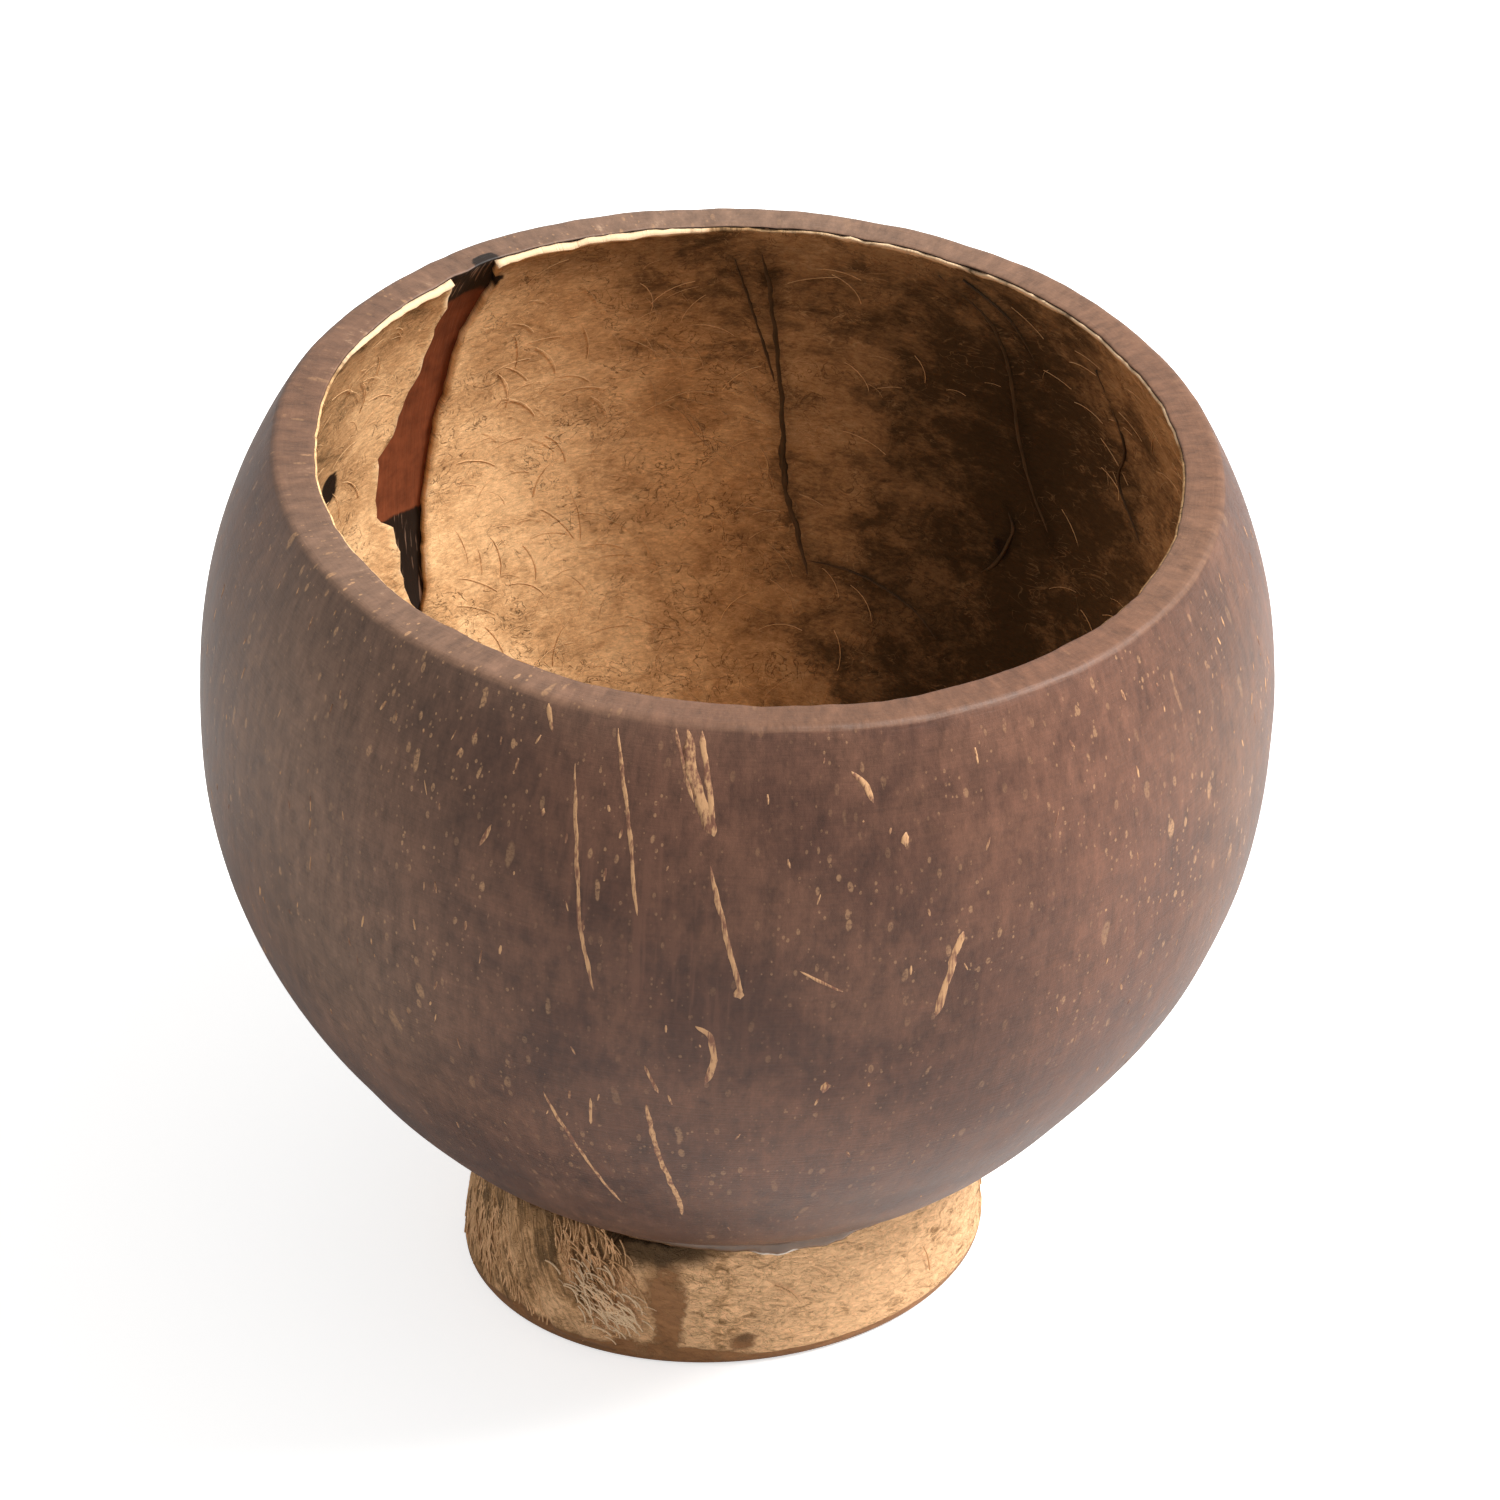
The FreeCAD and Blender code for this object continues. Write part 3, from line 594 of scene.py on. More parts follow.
def lining_finish(colours):
    """Papery inner skin: golden tan, mottled brown, crossed by fine pale and dark fibres, with painted
    shade on the right side.
    """
    make = Recipe("papery lining")
    place = make.place()
    around = make.kept("shell_map", vector=True)
    # Painted shade on the right side and in other patches, partly the lining's own darker brown.
    shade_and_stain = make.kept("painted_shade_and_stain")
    clouds = make.noise(place, 1.0 / (26.0 * MM), 5.0, 0.6, 0.4)
    patches = make.noise(make.stretch(around, 7.0 * MM, 4.5 * MM), 1.0, 7.0, 0.66, 0.6)
    grain = make.noise(make.stretch(around, 1.1 * MM, 0.42 * MM, 0.15), 1.0, 8.0, 0.82, 0.5)
    level = make.plus(make.times(clouds, 0.45), make.times(patches, 0.55))
    level = make.plus(level, make.scaled(grain, 0.22, -0.11))
    level = make.math("SUBTRACT", level, make.scaled(shade_and_stain, 0.20, -0.055))
    base = make.mix(make.span(level, 0.33, 0.50), colours.lining_dark, colours.lining_mid)
    base = make.mix(make.span(level, 0.46, 0.64), base, colours.lining_light)
    light = make.threads(make.stretch(around, 8.0 * MM, 3.0 * MM, 0.35), 0.012, 3.0, 1.5)
    crossing = make.threads(make.stretch(around, 10.0 * MM, 4.5 * MM, -0.5), 0.009, 3.0, 1.2)
    light = make.math("MAXIMUM", light, crossing)
    broken = make.span(make.noise(place, 1.0 / (5.0 * MM), 3.0, 0.6), 0.48, 0.6)
    light = make.times(light, broken)
    cracks = make.threads(make.stretch(around, 3.6 * MM, 2.8 * MM, 0.9), 0.020, 4.0, 1.8)
    cracked = make.span(make.noise(place, 1.0 / (6.0 * MM), 3.0, 0.6), 0.46, 0.56)
    cracks = make.times(cracks, cracked)
    base = make.mix(make.times(light, 0.6), base, colours.lining_light)
    base = make.mix(make.times(cracks, 0.8), base, colours.lining_dark)
    tone = make.scaled(grain, 1.9, 0.06)
    # Darker still where shade is painted.
    tone = make.times(tone, make.scaled(shade_and_stain, -0.76, 1.0))
    tone = make.times(tone, make.scaled(make.kept("vein"), -0.34, 1.0))
    base = make.shade(base, tone)
    edge = make.plus(make.kept("torn"), make.scaled(patches, 1.2, -0.6))
    base = make.mix(make.span(edge, 0.35, 0.65), base, colours.torn)
    stain = make.plus(make.kept("stain"), make.scaled(patches, 1.8, -0.9))
    base = make.mix(make.span(stain, 0.35, 0.6), base, colours.char)
    height = make.plus(make.times(grain, 0.5), make.times(patches, 1.2))
    height = make.plus(height, make.times(light, 0.3))
    height = make.math("SUBTRACT", height, make.times(cracks, 0.5))
    normal = make.bump(height, 0.5, 0.45 * MM)
    return make.finish(base, 0.8, normal, specular=0.08)


def thread_finish(name, light, dark, low=0.36, high=0.6):
    """A fibre's colour, changing along it between the limits of a noise."""
    make = Recipe(name)
    place = make.place()
    coarse = make.noise(place, 1.0 / (2.2 * MM), 3.0, 0.6)
    fine = make.noise(make.stretch(place, 0.25 * MM, 3.0 * MM), 1.0, 3.0, 0.6)
    level = make.plus(make.times(coarse, 0.5), make.times(fine, 0.5))
    base = make.mix(make.span(level, low, high), dark, light)
    return make.finish(base, 0.6, make.bump(fine, 0.3, 0.1 * MM), specular=0.2)


def raw_shell_finish(colours):
    """Unsanded shell of the foot: matted golden fibres, dark on one side, worn smooth below, with painted
    shadow under the bowl and painted light on its front right.
    """
    make = Recipe("raw shell")
    place = make.place()
    around = make.kept("foot_map", vector=True)
    olive = make.kept("olive")
    clouds = make.noise(place, 1.0 / (5.5 * MM), 6.0, 0.66, 0.5)
    matted = make.noise(make.stretch(around, 1.6 * MM, 0.7 * MM, 0.6), 1.0, 6.0, 0.75, 1.0)
    slanting = make.noise(make.stretch(around, 0.6 * MM, 4.5 * MM), 1.0, 5.0, 0.7, 0.4)
    strands = make.threads(make.stretch(around, 3.0 * MM, 2.0 * MM, 0.7), 0.022, 3.0, 1.6)
    cracks = make.threads(make.stretch(around, 4.4 * MM, 2.6 * MM, -0.4), 0.014, 4.0, 1.8)
    fibres = make.mix(olive, matted, slanting)
    level = make.plus(make.times(clouds, 0.5), make.times(fibres, 0.5))
    level = make.math("SUBTRACT", level, make.times(olive, 0.10))
    # Lighter at the pale flake, and painted light on the front right.
    level = make.plus(level, make.times(make.kept("bright"), 0.12))
    base = make.mix(make.span(level, 0.34, 0.45), colours.foot_dark, colours.foot_mid)
    base = make.mix(make.span(level, 0.41, 0.53), base, colours.foot_light)
    base = make.mix(make.times(strands, 0.3), base, colours.foot_light)
    base = make.mix(make.times(cracks, 0.3), base, colours.foot_mid)
    worn = make.plus(make.kept("worn"), make.scaled(clouds, 1.5, -0.8))
    worn = make.plus(worn, make.scaled(matted, 1.3, -0.65))
    worn = make.span(worn, 0.32, 0.72)
    worn_tone = make.noise(make.stretch(around, 3.0 * MM, 0.6 * MM), 1.0, 4.0, 0.6)
    worn_tone = make.scaled(worn_tone, 0.9, 0.6)
    base = make.mix(worn, base, make.shade(colours.foot_worn, worn_tone))
    base = make.shade(base, make.scaled(fibres, 1.45, 0.26))
    # Painted shadow under the bowl along the top, and a dark stain low down.
    stain = make.plus(make.kept("stain"), make.scaled(clouds, 0.9, -0.45))
    base = make.mix(make.span(stain, 0.25, 0.85), base, make.shade(colours.foot_dark, 0.55))
    height = make.plus(fibres, make.times(strands, 0.4))
    height = make.math("SUBTRACT", height, make.times(cracks, 0.5))
    height = make.times(height, make.scaled(worn, -0.85, 1.0))
    normal = make.bump(height, 0.7, 0.7 * MM)
    rough = make.scaled(worn, -0.34, 0.84)
    return make.finish(base, rough, normal, specular=0.2)


def glue_finish(colours):
    """Dried glue: dark, smooth and glossy, with a pale painted highlight on the bead's crest at the front
    right.
    """
    make = Recipe("dried glue")
    ripple = make.noise(make.place(), 1.0 / (1.8 * MM), 2.0, 0.5)
    base = make.shade(colours.glue, make.scaled(ripple, 0.8, 0.6))
    # A pale painted highlight on the bead's crest at the front right.
    painted_highlight = make.plus(make.kept("painted_highlight"), make.scaled(ripple, 1.0, -0.5))
    base = make.mix(make.span(painted_highlight, 0.35, 0.75), base, colours.glue_highlight)
    make.shader.inputs["Coat Weight"].default_value = 0.35
    make.shader.inputs["Coat Roughness"].default_value = 0.06
    return make.finish(base, 0.2, make.bump(ripple, 0.25, 0.3 * MM), specular=0.5)


def patch_strength(bearing, level, patches):
    """Sum of soft patches, each a bearing, a level, a half-width, a half-height and a strength."""
    total = 0.0
    for middle, height, breadth, tall, strength in patches:
        across = degrees_past(bearing, middle) / breadth
        up = (level / MM - height) / tall
        total += strength * math.exp(-(across ** 2 + up ** 2))
    return min(max(total, 0.0), 1.0)


def write_patches(piece, kept, named):
    """Write each set of patches as values, at places that start with a radius or a kind."""
    for name, patches in named.items():
        write_values(piece, name, [patch_strength(place[1], place[2], patches) for place in kept])


# Soft patches of the sanded shell's colour: bearing, level, half-width, half-height, strength.
REDDISH_PATCHES = (
    (-50.0, 14.0, 17.0, 24.0, 0.60),
    (-42.0, -16.0, 16.0, 16.0, 0.45),
    (-100.0, 24.0, 10.0, 9.0, 0.35),
    (-72.0, -20.0, 16.0, 14.0, 0.25),
    (20.0, 5.0, 40.0, 20.0, 0.4),
    (100.0, 0.0, 50.0, 22.0, 0.35),
)
# The greyish patches at the left and right edges and along the rim are painted sheen, partly the shell's
# own grey tone.
GREY_TONE_AND_SHEEN_PATCHES = (
    (95.0, 33.0, 50.0, 4.0, 0.9),
    (-115.0, 34.0, 22.0, 5.0, 0.35),
    (-150.0, 16.0, 24.0, 30.0, 0.75),
    (-134.0, -12.0, 14.0, 15.0, 0.40),
    (-20.0, 8.0, 14.0, 26.0, 0.25),
    (150.0, -5.0, 40.0, 25.0, 0.35),
)
FLECKY_PATCHES = (
    (-128.0, 16.0, 22.0, 24.0, 0.9),
    (-40.0, 10.0, 28.0, 24.0, 0.75),
    (-105.0, 24.0, 22.0, 12.0, 0.5),
    (-150.0, 30.0, 26.0, 8.0, 0.8),
    (60.0, 5.0, 60.0, 30.0, 0.7),
    (160.0, 5.0, 50.0, 30.0, 0.7),
)
BANDED_PATCHES = (
    (-103.0, 16.0, 11.0, 15.0, 1.0),
    (-96.0, 2.0, 8.0, 12.0, 0.7),
    (-45.0, 2.0, 14.0, 20.0, 0.6),
    (120.0, 5.0, 30.0, 20.0, 0.7),
)
RIM_STAINS = ((127.5, 31.0, 2.6, 5.0, 1.0),)
PALE_RIM_EDGES = (
    (114.0, 31.6, 13.0, 5.0, 0.8),
    (150.0, 31.6, 11.0, 5.0, 0.7),
    (-150.0, 31.6, 24.0, 5.0, 0.45),
)


def strip_at(level):
    """Bearings in degrees of the peeled strip's two edges at a level, before they fray."""
    height = level / MM
    if height <= PEEL_EDGES[-1][0]:
        middle = (PEEL_EDGES[-1][1] + PEEL_EDGES[-1][2]) / 2
        return middle, middle
    if height >= PEEL_EDGES[0][0]:
        return PEEL_EDGES[0][1:]
    for above, below in zip(PEEL_EDGES, PEEL_EDGES[1:]):
        if below[0] <= height <= above[0]:
            share = (above[0] - height) / (above[0] - below[0])
            return blend(above[1], below[1], share), blend(above[2], below[2], share)
    raise RuntimeError("the level lies between no two points of the strip")


def peel_edges_at(level):
    """Bearings in degrees of the peeled strip's two frayed edges, equal where it has ended."""
    left, right = strip_at(level)
    room = min(1.0, (left - right) / 3.0)
    height = Vector((0.0, 0.0, level))
    left += room * (0.55 * wobble(height, 2.6 * MM, 1.0) + 0.35 * wobble(height, 1.1 * MM, 4.0))
    right += room * (0.40 * wobble(height, 3.1 * MM, 7.0) + 0.30 * wobble(height, 1.3 * MM, 9.0))
    return left, right


def inner_stain(bearing, level):
    """How black the bare shell is: in the narrow tear and at the strip's top."""
    height = level / MM
    torn_deep = ease(height, -3.2, -4.6)
    strip_top = ease(height, 24.0, 28.5)
    left, right = peel_edges_at(level)
    centre = abs(math.degrees(bearing) - (left + right) / 2) / max(left - right, 0.5)
    return max(torn_deep, strip_top, 0.35 * ease(centre, 0.25, 0.5) * ease(height, 8.0, 20.0))


class CUP_OT_shell(bpy.types.Operator):
    """Build the sanded shell, its rim and its bare inside."""

    bl_idname = "coconut_cup.shell"
    bl_label = "Cup shell"

    columns = 330
    step = 1.05 * MM

    def section(self, form):
        """Points (radius, level, zone) from the outer pole over the rim to the inner pole."""
        size = form.sizes
        rim_level = size.mouth - size.rim_round
        rim_angle = math.asin((rim_level - size.belt) / (size.radius - size.rim_round))
        shoulder_top = size.belt + size.radius * math.sin(rim_angle)
        outer = [(*point, "outside") for point in form.line(0.0, shoulder_top, self.step)]
        rim_centre = (size.radius - size.rim_round) * math.cos(rim_angle)
        rim = []
        for angle in spaced(rim_angle, math.pi / 2, 0.28)[1:]:
            radius = rim_centre + size.rim_round * math.cos(angle)
            rim.append((radius, rim_level + size.rim_round * math.sin(angle), "rim"))
        inner_line = form.line(size.wall, size.mouth, 1.6 * self.step)
        inner_edge = inner_line[-1][0]
        crisp = 0.25 * MM
        softened = 0.07 * MM
        for radius in spaced(rim_centre, inner_edge + crisp, 0.5 * MM)[1:]:
            rim.append((radius, size.mouth, "rim"))
        rim.append((inner_edge + softened, size.mouth - softened, "rim"))
        inner = [(*point, "inside") for point in reversed(inner_line[:-1])]
        return outer + rim + [(inner_edge, size.mouth - crisp, "inside")] + inner

    def fleckiness(self, radius, bearing, level, zone):
        """How many of the flecks show at a place."""
        share = 0.45 + 0.55 * patch_strength(bearing, level, FLECKY_PATCHES)
        if zone == "rim":
            return 0.15 + 0.85 * ease(math.cos(bearing), 0.2, -0.7)
        return share

    def stain(self, radius, bearing, level, zone):
        """How black the shell is at a place, on the rim only along its inner part."""
        if zone == "inside":
            return inner_stain(bearing, level)
        inner_part = ease(radius, 50.2 * MM, 49.4 * MM)
        return inner_part * patch_strength(bearing, level, RIM_STAINS) if zone == "rim" else 0.0

    def paleness(self, radius, bearing, level, zone):
        """How much of the pale torn skin is left on the rim's inner part."""
        if zone != "rim":
            return 0.0
        return ease(radius, 50.6 * MM, 49.2 * MM) * patch_strength(bearing, level, PALE_RIM_EDGES)

    def execute(self, context):
        """Lay the section round the bowl's axis, then write what the finishes read."""
        form = BowlForm(context.scene.cup_sizes)
        colours = context.scene.cup_colours
        size = form.sizes
        section = self.section(form)
        bearings = ring_bearings(self.columns)
        vertices, maps, kept = [], [], []
        travelled = 0.0
        previous = section[0]
        for point in section[1:-1]:
            travelled += math.dist(point[:2], previous[:2])
            previous = point
            radius, level, zone = point
            for bearing in bearings:
                shifted = radius + form.edge_shift(bearing, radius, level)
                vertices.append(form.put(bearing, shifted, level))
                maps.append(wrapped(bearing, radius, size.radius, travelled))
                kept.append((radius, bearing, level, zone))
        outer_pole, inner_pole = len(vertices), len(vertices) + 1
        for radius, level, zone in (section[0], section[-1]):
            vertices.append(form.put(0.0, radius, level))
            maps.append((0.0, 0.0, travelled if zone == "inside" else 0.0))
            kept.append((radius, 0.0, level, zone))
        rows = len(section) - 2
        faces = grid_faces(rows, self.columns)
        last_row = (rows - 1) * self.columns
        for column in range(self.columns):
            beside = (column + 1) % self.columns
            faces.append((outer_pole, beside, column))
            faces.append((inner_pole, last_row + column, last_row + beside))
        shell = add_mesh("cup_shell", vertices, faces)
        write_vectors(shell, "shell_map", maps)
        write_values(shell, "rim_share", [float(zone == "rim") for *_, zone in kept])
        write_patches(shell, kept, {
            "reddish": REDDISH_PATCHES, "greyish": GREY_TONE_AND_SHEEN_PATCHES, "banded": BANDED_PATCHES})
        measures = {
            "fleckiness": self.fleckiness, "stain": self.stain, "pale_edge": self.paleness}
        for name, measure in measures.items():
            write_values(shell, name, [measure(*place) for place in kept])
        shell.data.materials.append(sanded_shell_finish(colours))
        shell.data.materials.append(bare_shell_finish(colours))
        for face in shell.data.polygons:
            face.material_index = int(
                all(kept[index][-1] == "inside" for index in face.vertices))
        hand_over(shell, "sanded_shell", "bowl_shell")
        return {"FINISHED"}


def path_samples(points, step):
    """Samples (share, bearing, level) along a smooth path through points, a step apart."""
    knots = [Vector((bearing, level)) for bearing, level in points]
    knots = [2 * knots[0] - knots[1], *knots, 2 * knots[-1] - knots[-2]]
    pairs = len(points) - 1
    samples = []
    for index in range(pairs):
        before, start, end, after = knots[index:index + 4]
        count = max(2, round((end - start).length / step))
        for part in range(count + (index == pairs - 1)):
            share = part / count
            cubic = (
                2 * start
                + (end - before) * share
                + (2 * before - 5 * start + 4 * end - after) * share ** 2
                + (3 * start - before - 3 * end + after) * share ** 3
            ) / 2
            samples.append(((index + share) / pairs, cubic.x, cubic.y))
    return samples


# How deep a fibre's root reaches into its surface, and how far its edges dip into it.
FIBRE_ROOT = 0.30 * MM
FIBRE_EDGE_DIP = 0.04 * MM


def fibre_mesh(form, name, width, points, inset, proud, blunt=0.12):
    """A flat lens-shaped fibre along a path: vertices and faces, pointed at both ends."""
    samples = path_samples(points, 0.5)
    source = random.Random(name)
    salt = source.uniform(0.0, 50.0)
    vertices, faces = [], []
    inward = inset > 0.0
    for index, (share, bearing, level) in enumerate(samples):
        ahead = samples[min(index + 1, len(samples) - 1)]
        behind = samples[max(index - 1, 0)]
        centre = form.on(bearing, level * MM, inset)
        run = form.on(ahead[1], ahead[2] * MM, inset) - form.on(behind[1], behind[2] * MM, inset)
        outward = (centre - form.seat).normalized() * (-1.0 if inward else 1.0)
        side = run.cross(outward).normalized()
        taper = math.sqrt(min(1.0, min(share, 1.0 - share) / blunt + 0.02))
        ragged = 1.0 + 0.45 * noise.noise(Vector((salt, index * 0.45, 0.0)))
        half = 0.5 * width * MM * taper * ragged
        drift = side * (0.25 * width * MM * noise.noise(Vector((index * 0.21, salt, 4.0))))
        crown = outward * (proud * taper)
        dip = outward * FIBRE_EDGE_DIP
        middle = centre + drift
        vertices += [
            middle - side * half - dip, middle - side * half * 0.5 + crown,
            middle + side * half * 0.5 + crown, middle + side * half - dip,
            middle - outward * FIBRE_ROOT,
        ]
    around = 5
    faces += grid_faces(len(samples), around)
    last = (len(samples) - 1) * around
    faces.append(tuple(range(around))[::-1])
    faces.append(tuple(range(last, last + around)))
    return vertices, faces


def join_parts(name, parts):
    """One object from several lists of vertices and faces, its faces pointing outwards."""
    vertices, faces = [], []
    for part_vertices, part_faces in parts:
        start = len(vertices)
        vertices += part_vertices
        faces += [tuple(index + start for index in face) for face in part_faces]
    piece = add_mesh(name, vertices, faces)
    face_outwards(piece)
    return piece


def face_outwards(piece):
    """Turn all faces of closed parts outwards."""
    mesh = bmesh.new()
    mesh.from_mesh(piece.data)
    bmesh.ops.recalc_face_normals(mesh, faces=mesh.faces)
    mesh.to_mesh(piece.data)
    mesh.free()


class CUP_OT_shell_fibres(bpy.types.Operator):
    """Lay the long tan fibres and round fibre ends into the sanded shell."""

    bl_idname = "coconut_cup.shell_fibres"
    bl_label = "Shell fibres"

    def execute(self, context):
        """Make one sliver for each fibre and one button for each round end."""
        form = BowlForm(context.scene.cup_sizes)
        colours = context.scene.cup_colours
        parts = []
        for name, (width, *points) in SHELL_FIBRES.items():
            parts.append(fibre_mesh(form, name, width, points, 0.0, 0.02 * MM))
        for name, (width, bearing, level) in SHELL_DOTS.items():
            reach = width / 2
            points = ((bearing, level + reach), (bearing, level - reach))
            parts.append(fibre_mesh(form, name, width, points, 0.0, 0.02 * MM, blunt=0.45))
        piece = join_parts("shell_fibres", parts)
        dark = tuple(1.25 * value for value in colours.shell_red)
        piece.data.materials.append(thread_finish("cut fibre", colours.fleck, dark, 0.40, 0.56))
        hand_over(piece, "sanded_shell")
        return {"FINISHED"}


class VeinField:
    """How near a place in the lining is to one of its veins."""

    lowest_bearing = 25.0
    highest_bearing = 100.0

    def __init__(self, radius):
        self.radius = radius
        self.runs = []
        for width, *points in LINING_VEINS.values():
            path = [(bearing, level) for _, bearing, level in path_samples(points, 2.5)]
            self.runs.append((width * MM, path))

    def near(self, bearing, level):
        """From 0 away from all veins to 1 on one."""
        degrees = math.degrees(bearing) % 360.0
        if not self.lowest_bearing < degrees < self.highest_bearing:
            return 0.0
        best = 0.0
        for width, path in self.runs:
            pieces = zip(path, path[1:])
            gap = min(self.distance(degrees, level, *ends) for ends in pieces)
            best = max(best, ease(gap, 1.2 * width, 0.15 * width))
        return best

    def distance(self, degrees, level, start, end):
        """Distance to a straight piece of a vein, measured on the lining."""
        per_degree = math.radians(1.0) * self.radius
        across = (degrees - start[0]) * per_degree
        up = level - start[1] * MM
        run_across = (end[0] - start[0]) * per_degree
        run_up = (end[1] - start[1]) * MM
        squared = run_across ** 2 + run_up ** 2
        share = min(max((across * run_across + up * run_up) / squared, 0.0), 1.0)
        return math.hypot(across - share * run_across, up - share * run_up)


class CUP_OT_lining(bpy.types.Operator):
    """Build the papery lining with its torn top edge and the peeled strip left open."""

    bl_idname = "coconut_cup.lining"
    bl_label = "Papery lining"

    columns = 330
    step = 1.2 * MM
    glue_line = 0.02 * MM

    def tear(self, form, bearing):
        """How far the torn top edge stops below the rim."""
        around = flat_way(bearing) * form.sizes.radius
        fine = abs(wobble(around, 1.6 * MM, 2.0)) * 0.55 * MM
        bites = ease(wobble(around, 6.0 * MM, 9.0), 0.15, 0.5) * 0.6 * MM
        back = max(math.sin(bearing), 0.0)
        return form.sizes.lining_stop + (0.25 + 0.4 * back) * (fine + bites)

    def thickness(self, form, bearing, depth):
        """The lining's thickness, fluffed up at the torn edge of the back left."""
        around = flat_way(bearing) * form.sizes.radius
        fluffy = between(bearing, 88.0, 108.0, 140.0, 165.0)
        ragged = 0.55 + 0.75 * abs(wobble(around, 4.0 * MM, 6.0))
        return form.sizes.lining + 0.75 * MM * fluffy * ragged * ease(depth, 1.6 * MM, 0.0)

    def curl(self, edge_distance, travelled, share):
        """How far the lining curls up along the peeled strip."""
        height = 0.35 * MM * ease(edge_distance, 1.8 * MM, 0.0)
        return height * (0.5 + abs(wobble(Vector((travelled, share * 10.0, 1.0)), 3.0 * MM)))

    def dent(self, place, travelled, vein):
        """How far the lining stands off the shell where it is crumpled or a vein runs."""
        crumple = 0.16 * MM * (1.0 + wobble(place, 7.0 * MM, 4.0))
        crumple += 0.06 * MM * (1.0 + wobble(place, 2.2 * MM, 1.0))
        return crumple * ease(travelled, 0.0, 4.0 * MM) + 0.28 * MM * vein

    def execute(self, context):
        """Lay two skins in columns from one edge of the strip round to the other."""
        form = BowlForm(context.scene.cup_sizes)
        colours = context.scene.cup_colours
        size = form.sizes
        top = size.mouth
        line = list(reversed(form.line(size.wall, top, self.step)))
        line = [line[0], *self.close_rows(form, top), *line[1:]]
        veins = VeinField(size.radius)
        face_points, back_points, kept, maps = [], [], [], []
        travelled = 0.0
        rows = len(line) - 1
        far_away = 1.0
        for row, (radius, level) in enumerate(line[:-1]):
            if row:
                travelled += math.dist(line[row - 1], line[row])
            left, right = (math.radians(edge) for edge in peel_edges_at(level))
            start, end = left, right + 2.0 * math.pi
            for column in range(self.columns + 1):
                share = column / self.columns
                bearing = blend(start, end, share)
                edge_distance = min(share, 1.0 - share) * (end - start) * radius
                open_edge = left - right > 1e-4
                fade = ease(travelled, 6.0 * MM, 0.0)
                sunk = level - fade * self.tear(form, bearing)
                inner = form.radius(sunk, size.wall) if fade else radius
                inner += form.edge_shift(bearing, inner, level)
                vein = veins.near(bearing, level)
                raised = self.thickness(form, bearing, travelled)
                raised += self.curl(edge_distance, travelled, share) if open_edge else 0.0
                raised += self.dent(form.put(bearing, radius, level), travelled, vein)
                face_points.append(form.put(bearing, inner, sunk, -raised))
                back_points.append(form.put(bearing, inner, sunk, -self.glue_line))
                edge_distance = edge_distance if open_edge else far_away
                kept.append((bearing, level, edge_distance, travelled, vein))
                maps.append(wrapped(bearing, radius, size.radius, travelled))
        pole = line[-1]
        vertices = face_points + back_points
        vertices.append(form.put(0.0, *pole, -size.lining - 0.2 * MM))
        vertices.append(form.put(0.0, *pole, -self.glue_line))
        piece = add_mesh("papery_lining", vertices, self.skin_faces(rows))
        self.write_finish_values(piece, kept, maps)
        self.close_seam(piece)
        piece.data.materials.append(lining_finish(colours))
        hand_over(piece, "papery_lining", "inner_lining")
        return {"FINISHED"}

    def skin_faces(self, rows):
        """Faces of both skins, of the border between them and of their poles."""
        columns = self.columns + 1
        count = rows * columns
        faces = [face[::-1] for face in grid_faces(rows, columns, closed=False)]
        back = [tuple(index + count for index in face[::-1]) for face in faces]
        border = []
        for column in range(self.columns):
            border.append((column, column + 1, column + 1 + count, column + count))
        for row in range(rows - 1):
            for column in (0, self.columns):
                low = row * columns + column
                high = low + columns
                border.append((low, high, high + count, low + count))
        pole_face, pole_back = 2 * count, 2 * count + 1
        last = (rows - 1) * columns
        for column in range(self.columns):
            faces.append((last + column, pole_face, last + column + 1))
            back.append((last + column + count, last + column + 1 + count, pole_back))
        return faces + back + border

    def paleness(self, bearing):
        """How pale the torn top edge is round the rim."""
        back_left = between(bearing, 88.0, 105.0, 150.0, 170.0)
        back_right = between(bearing, -4.0, 20.0, 75.0, 95.0)
        return 0.12 + 0.78 * back_left + 0.5 * back_right

    def close_rows(self, form, top):
        """Extra rows near the top, where the torn edge needs them."""
        wall = form.sizes.wall
        return [(form.radius(top - depth, wall), top - depth) for depth in (0.3 * MM, 0.7 * MM)]

    def write_finish_values(self, piece, kept, maps):
        """Write the attributes that the lining's finish reads, alike on both skins."""
        poles = 2
        torn, dark, stain, raised = [], [], [], []
        for bearing, level, edge_distance, travelled, vein in kept:
            raised.append(vein)
            pale = self.paleness(bearing)
            at_top = ease(travelled, (0.5 + 1.5 * pale) * MM, 0.1 * MM) * pale
            at_strip = 0.45 * ease(edge_distance, 0.9 * MM, 0.1 * MM)
            torn.append(max(at_top, at_strip))
            # Painted shade, partly the lining's own darker brown, for the finish.
            dark.append(patch_strength(bearing, level, LINING_SHADE_AND_STAIN_PATCHES))
            stain.append(patch_strength(bearing, level, BLACK_LINING_PATCHES))
        write_vectors(piece, "shell_map", maps * 2 + [(0.0, 0.0, maps[-1][2])] * poles)
        write_values(piece, "torn", torn * 2 + [0.0] * poles)
        write_values(piece, "painted_shade_and_stain", dark * 2 + [0.5] * poles)
        write_values(piece, "stain", stain * 2 + [0.0] * poles)
        write_values(piece, "vein", raised * 2 + [0.0] * poles)

